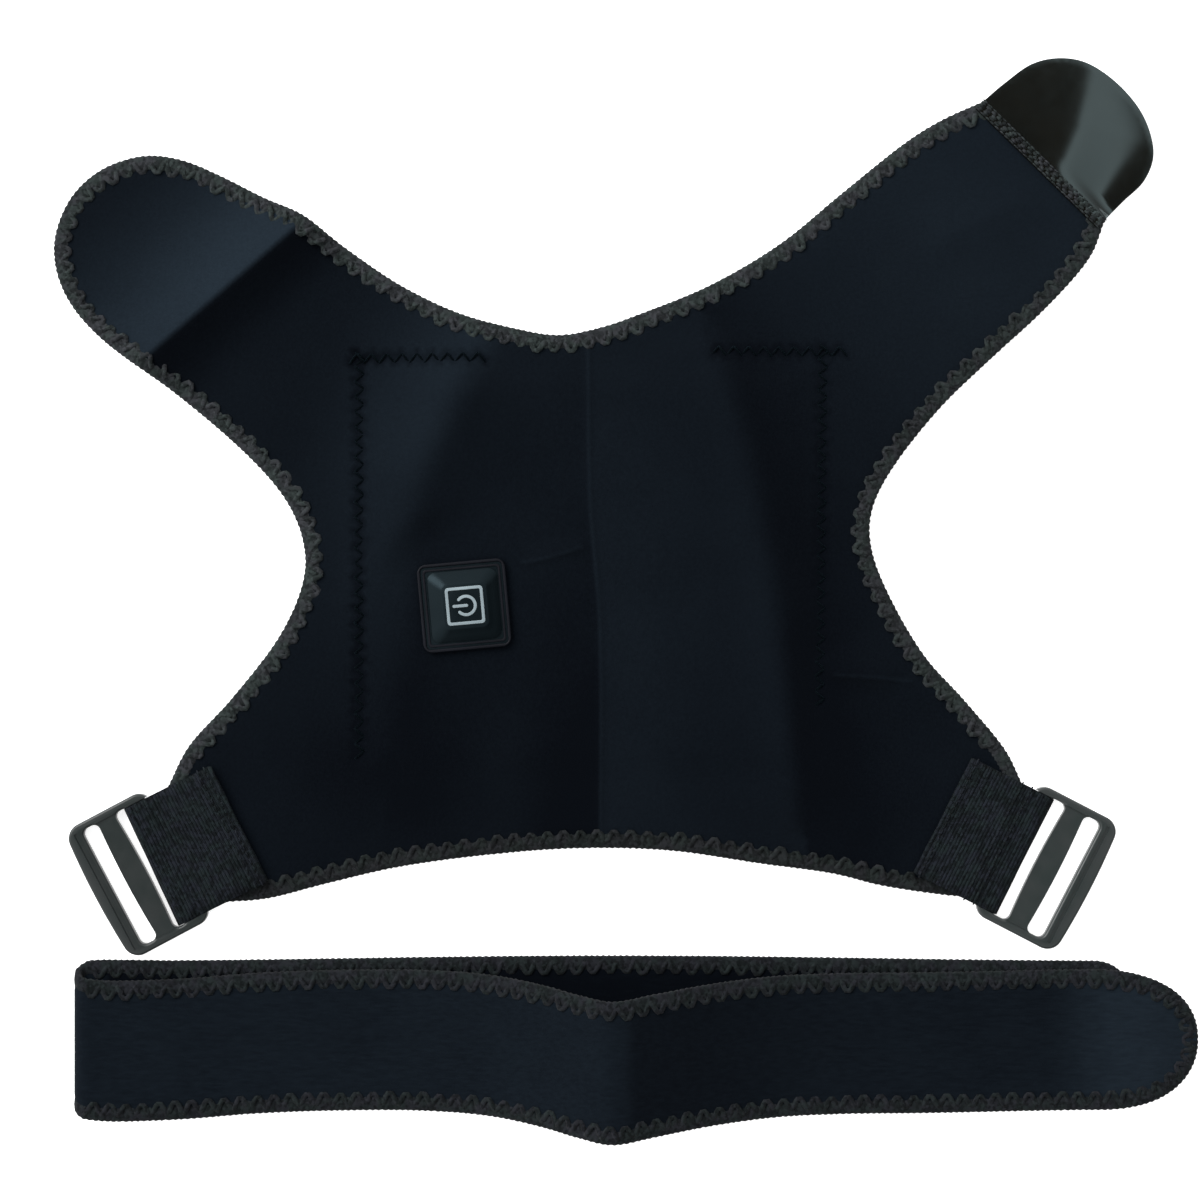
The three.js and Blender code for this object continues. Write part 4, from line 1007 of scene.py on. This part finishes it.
arcPiece = slab("power_arc_print", [arcRing(switch["symbolRadius"], switch["symbolLine"])], inlayLow, inlayHigh, 0.1, inlay,
                symbolMatrix)
line = switch["symbolLine"] / 2
barPiece = slab("power_bar_print", [roundedRing(-switch["barOut"] - switch["bar"] / 2, -switch["barOut"] + switch["bar"] / 2,
                                                -line, line, line - 0.02)], inlayLow, inlayHigh, 0.1, inlay, symbolMatrix)
for piece, node, slotName in ((switchBase, "switch_base", "switch"), (switchKey, "switch_key", "switch"),
                              (ringPiece, "key_ring", "inlay"), (arcPiece, "power_arc", "inlay"),
                              (barPiece, "power_bar", "inlay")):
    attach(piece, "root")
    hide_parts(node)
print("switch made")

# ---- belt ----
belt = {"length": 431.7, "width": 54, "thickness": 3, "rise": 22, "sway": 9, "stagger": 3.1, "foldSway": 3.2, "turn": 1.6, "tuck": 22,
        "rounding": 40, "endRounding": 18, "square": 2.2, "origin": (-212.1, -167.7, 0.001), "bow": 2.0,
        "binding": 5.4, "foldClear": 9}
# Front layer from the fold to the tip: along as a share of length, lift of rise, sway of sway
beltSections = [(0.03, 0.1, 0.43), (0.1, 0.02, 0.36), (0.16, 0, 0.14), (0.23, 0, 0.01), (0.31, 0.03, 0),
                (0.37, 0.2, 0.16), (0.415, 0.5, 0.49), (0.45, 0.8, 0.86), (0.478, 1, 1.06), (0.515, 0.82, 0.81),
                (0.56, 0.52, 0.5), (0.62, 0.22, 0.22), (0.68, 0.04, 0.14), (0.76, 0, 0.11), (0.9, 0, -0.02)]
layerHalf = belt["thickness"] / 2
foldRadius = belt["turn"] + layerHalf
foldMiddle = foldRadius + layerHalf
backEnd = belt["length"] - belt["tuck"]
frontRest = 3 * layerHalf + 0.3
backShares, foldShares = np.arange(12) / 12, np.arange(12) / 12
beltPoints = [(backEnd + (foldMiddle - backEnd) * k, belt["bow"] * math.sin(math.pi * k) ** 2, layerHalf)
              for k in backShares]
beltPoints += [(foldMiddle + foldRadius * math.cos(math.pi * (1.5 - k)), -(belt["stagger"] + belt["foldSway"]) * k,
                layerHalf + foldRadius * (1 + math.sin(math.pi * (1.5 - k)))) for k in foldShares]
beltPoints += [(x * belt["length"], -belt["stagger"] - sway * belt["sway"], frontRest + lift * belt["rise"])
               for x, lift, sway in beltSections]
beltPoints += [(backEnd + belt["binding"], -belt["stagger"], frontRest),
               (belt["length"], -belt["stagger"], layerHalf + 0.3)]
beltLine = throughPoints(np.array(beltPoints) + belt["origin"], 1.0, 0.5)
beltRun = float(np.linalg.norm(np.diff(beltLine, axis=0), axis=1).sum())
beltSpots = np.linspace(0, beltRun, len(beltLine))
foldAt = backEnd - foldMiddle + foldRadius * math.pi / 2
beltTangents = unit(along(beltLine) * (1, 0, 1))
beltNormals = np.column_stack([-beltTangents[:, 2], np.zeros(len(beltLine)), beltTangents[:, 0]])


def readAt(table, s):
    return np.stack([np.interp(s, beltSpots, axis) for axis in table.T], axis=-1)


def beltPlace(s, t, height):  # along the belt from the back layer's end, across it, and above its middle
    up = unit(readAt(beltNormals, s))
    return readAt(beltLine, s) + np.multiply.outer(t, (0, 1, 0)) + np.asarray(height)[..., None] * up


def beltHalfWidth(s):
    rounding = np.where(s < beltRun / 2, belt["endRounding"], belt["rounding"])
    share = np.clip(np.minimum(s, beltRun - s) / rounding, 0, 1)
    return belt["width"] / 2 * (1 - (1 - share) ** belt["square"]) ** (1 / belt["square"])


def beltEdgeLine(spacing):  # the belt's flat outline, s and t, counter-clockwise
    ends = [np.array([(r * (1 - math.cos(a) ** (2 / belt["square"])),
                       -belt["width"] / 2 * math.sin(a) ** (2 / belt["square"])) for a in np.linspace(0, math.pi / 2, 40)])
            for r in (belt["endRounding"], belt["rounding"])]
    lower = np.vstack([ends[0], (ends[1] * (-1, 1) + (beltRun, 0))[::-1]])
    upper = (lower * (1, -1))[::-1]
    return evenly(np.vstack([lower, upper[1:-1]]), spacing, closed=True)


cuff = 1.2  # the cloth ends this far inside the belt's edge
inner = np.sort(np.concatenate([np.arange(0, belt["endRounding"], 0.9), np.arange(belt["endRounding"], beltRun - belt["rounding"], 2.2),
                                beltRun - np.arange(0, belt["rounding"] + 0.1, 0.9)[::-1]]))
stations = inner[(inner > 0.4) & (inner < beltRun - 0.4)]
columns = np.sin(np.linspace(-math.pi / 2, math.pi / 2, 23))
across = np.concatenate([columns, columns[::-1]])
side = np.concatenate([np.full(23, -1.0), np.full(23, 1.0)])
widths = np.maximum(beltHalfWidth(stations) - cuff, 0.5)
grid = np.stack([np.full(46, s) for s in stations])
t = widths[:, None] * across[None]
inFrom = widths[:, None] - np.abs(t)
heights = side[None] * (layerHalf - 0.15 - 0.45 * (1 - smooth(inFrom, 1.5, 6)))
# Tone on the belt: painted light left of the front layer's raised crease and painted shade right of it, a little
# lighter further on and lighter towards the tip
beltToneAndPaintedShade = {"left": 0.24, "right": 0.1, "farRight": 0.07, "tip": 0.36, "back": 0.0}
creaseAt = beltRun - belt["length"] + 0.478 * belt["length"] + 3
sAll, tAll = grid.ravel(), t.ravel()
toneAndPaintedShade = beltToneAndPaintedShade["left"] + (beltToneAndPaintedShade["right"] - beltToneAndPaintedShade["left"]) * smooth(sAll, creaseAt - 3, creaseAt + 3)
toneAndPaintedShade += beltToneAndPaintedShade["farRight"] * smooth(sAll, creaseAt + 30, creaseAt + 90)
toneAndPaintedShade += beltToneAndPaintedShade["tip"] * smooth(sAll, beltRun - 62, beltRun - 30)
# The back layer is darkest: partly its inner face, partly painted shadow where it shows under the raised front layer
toneAndPaintedShade = np.where(sAll < foldAt - 12, beltToneAndPaintedShade["back"], toneAndPaintedShade)
beltStrap = skin("belt_strap_cloth", beltPlace(grid, t, heights), beltCloth, sharp=60, values={"toneAndPaintedShade": toneAndPaintedShade})


def beltRail(spacing, inset, height, flip=False):
    line = beltEdgeLine(spacing)
    inward = leftOf(line, True)
    spot = line + inward * inset
    at = beltPlace(spot[:, 0], spot[:, 1], np.full(len(spot), height))
    inner = beltPlace(spot[:, 0] + inward[:, 0], spot[:, 1] + inward[:, 1], np.full(len(spot), height))
    up = unit(readAt(beltNormals, spot[:, 0]))
    rail = {"at": at, "inward": unit(inner - at), "up": up, "spot": spot[:, 0]}
    if flip:
        rail = {key: value[::-1] for key, value in rail.items()}
        rail["up"] = -rail["up"]
    return rail


rollRail = beltRail(binding["wrapPitch"], 0.0, 0.0)
beltSwell, beltShade = wraps(len(rollRail["at"]), 10)
beltRoll = skin("belt_roll", sweep(rollRail, roundSection(0, binding["roll"], -1.45, 1.45, 10, 3), beltSwell),
                beltThread, closed=True, sharp=180, values={"shade": beltShade})


def clearOfFold(rail):  # the two open runs of the belt's edge, without stitches on the fold itself
    nearFold = np.abs(rail["spot"] - foldAt) < belt["foldClear"]
    start = int(np.argmax(nearFold))
    turned = {key: np.roll(value, -start, axis=0) for key, value in rail.items()}
    far = np.flatnonzero(np.abs(turned["spot"] - foldAt) >= belt["foldClear"])
    return [{key: value[run] for key, value in turned.items()}
            for run in np.split(far, np.flatnonzero(np.diff(far) > 1) + 1)]


beltArches = []
for height, flip in ((1.05, False), (-1.05, True)):
    for run in clearOfFold(beltRail(railStep, binding["archInset"], height, flip)):
        beltArches.append(repeatAlong("belt_arches" + str(len(beltArches)), run, beltStitch, beltThread,
                                      binding["archPitch"], seed=51 + len(beltArches)))
beltBinding = joined("belt_edge_binding", [beltRoll, *beltArches])
for piece, node, slotName in ((beltStrap, "belt_strap", "cloth"), (beltBinding, "belt_binding", "binding")):
    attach(piece, "root")
    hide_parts(node)
print("belt", round(beltRun), "mm long")

for stitch in (archStitch, beltStitch, zigStitch, lockStitch, innerStitch, ribShape):
    bpy.data.objects.remove(stitch)
for piece, slotName in ((backPanel, "cloth"), (hookTab, "tab"), (pocketSeam, "binding"), (tabStitches, "binding")):
    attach(piece, "root")
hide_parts("back_panel")
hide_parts("hook_tab")

# ---- floor, light and camera ----
studio = {"floor": 4.0, "sun": 2.6, "sunSize": 38, "sunAt": (-0.62, 0.5, 0.62), "worldLow": 0.15, "worldHigh": 1.6,
          "photoWidth": 0.4622, "height": 1.2, "centre": (-0.0103, -0.002), "floorGlow": 0.7}
bpy.ops.mesh.primitive_plane_add(size=studio["floor"], location=(0, 0, -0.0008))
floor = bpy.context.object
floor.name = "floor"
floorPaint = mouldedMaterial("pale_floor", floorLook, 0.0, level=0.2)
floorPaint.node_tree.nodes["Principled BSDF"].inputs["Emission Color"].default_value = (1, 1, 1, 1)
floorPaint.node_tree.nodes["Principled BSDF"].inputs["Emission Strength"].default_value = studio["floorGlow"]
floor.data.materials.append(floorPaint)
floor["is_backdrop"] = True

sun = bpy.data.objects.new("key_light", bpy.data.lights.new("key_light", "SUN"))
sun.data.energy, sun.data.angle = studio["sun"], math.radians(studio["sunSize"])
sun.rotation_euler = Vector(studio["sunAt"]).to_track_quat("Z", "Y").to_euler()
bpy.context.scene.collection.objects.link(sun)

world = bpy.data.worlds.new("studio")
world.use_nodes = True
tree = world.node_tree
direction = addNode(tree, "ShaderNodeTexCoord").outputs["Generated"]
facing = addNode(tree, "ShaderNodeVectorMath", {0: direction, 1: Vector(studio["sunAt"]).normalized()}, operation="DOT_PRODUCT")
bright = spread(tree, facing.outputs["Value"], studio["worldLow"], studio["worldHigh"], -0.25, 0.4)
height = addNode(tree, "ShaderNodeSeparateXYZ", {0: direction}).outputs["Z"]
overhead = spread(tree, height, 1.0, 0.025, 0.95, 0.969)  # the dark opening that the camera looks through
tree.nodes["Background"].inputs["Color"].default_value = (1, 1, 1, 1)
tree.links.new(times(tree, bright, overhead), tree.nodes["Background"].inputs["Strength"])
bpy.context.scene.world = world

camera = bpy.data.objects.new("camera", bpy.data.cameras.new("camera"))
camera.location = (*studio["centre"], studio["height"])
camera.data.sensor_width = 36
camera.data.lens = 36 * studio["height"] / studio["photoWidth"]
bpy.context.scene.collection.objects.link(camera)
bpy.context.scene.camera = camera
bpy.context.scene.view_settings.view_transform = "Standard"

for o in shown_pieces():
    print(o.name, sum(len(p.vertices) - 2 for p in o.data.polygons))
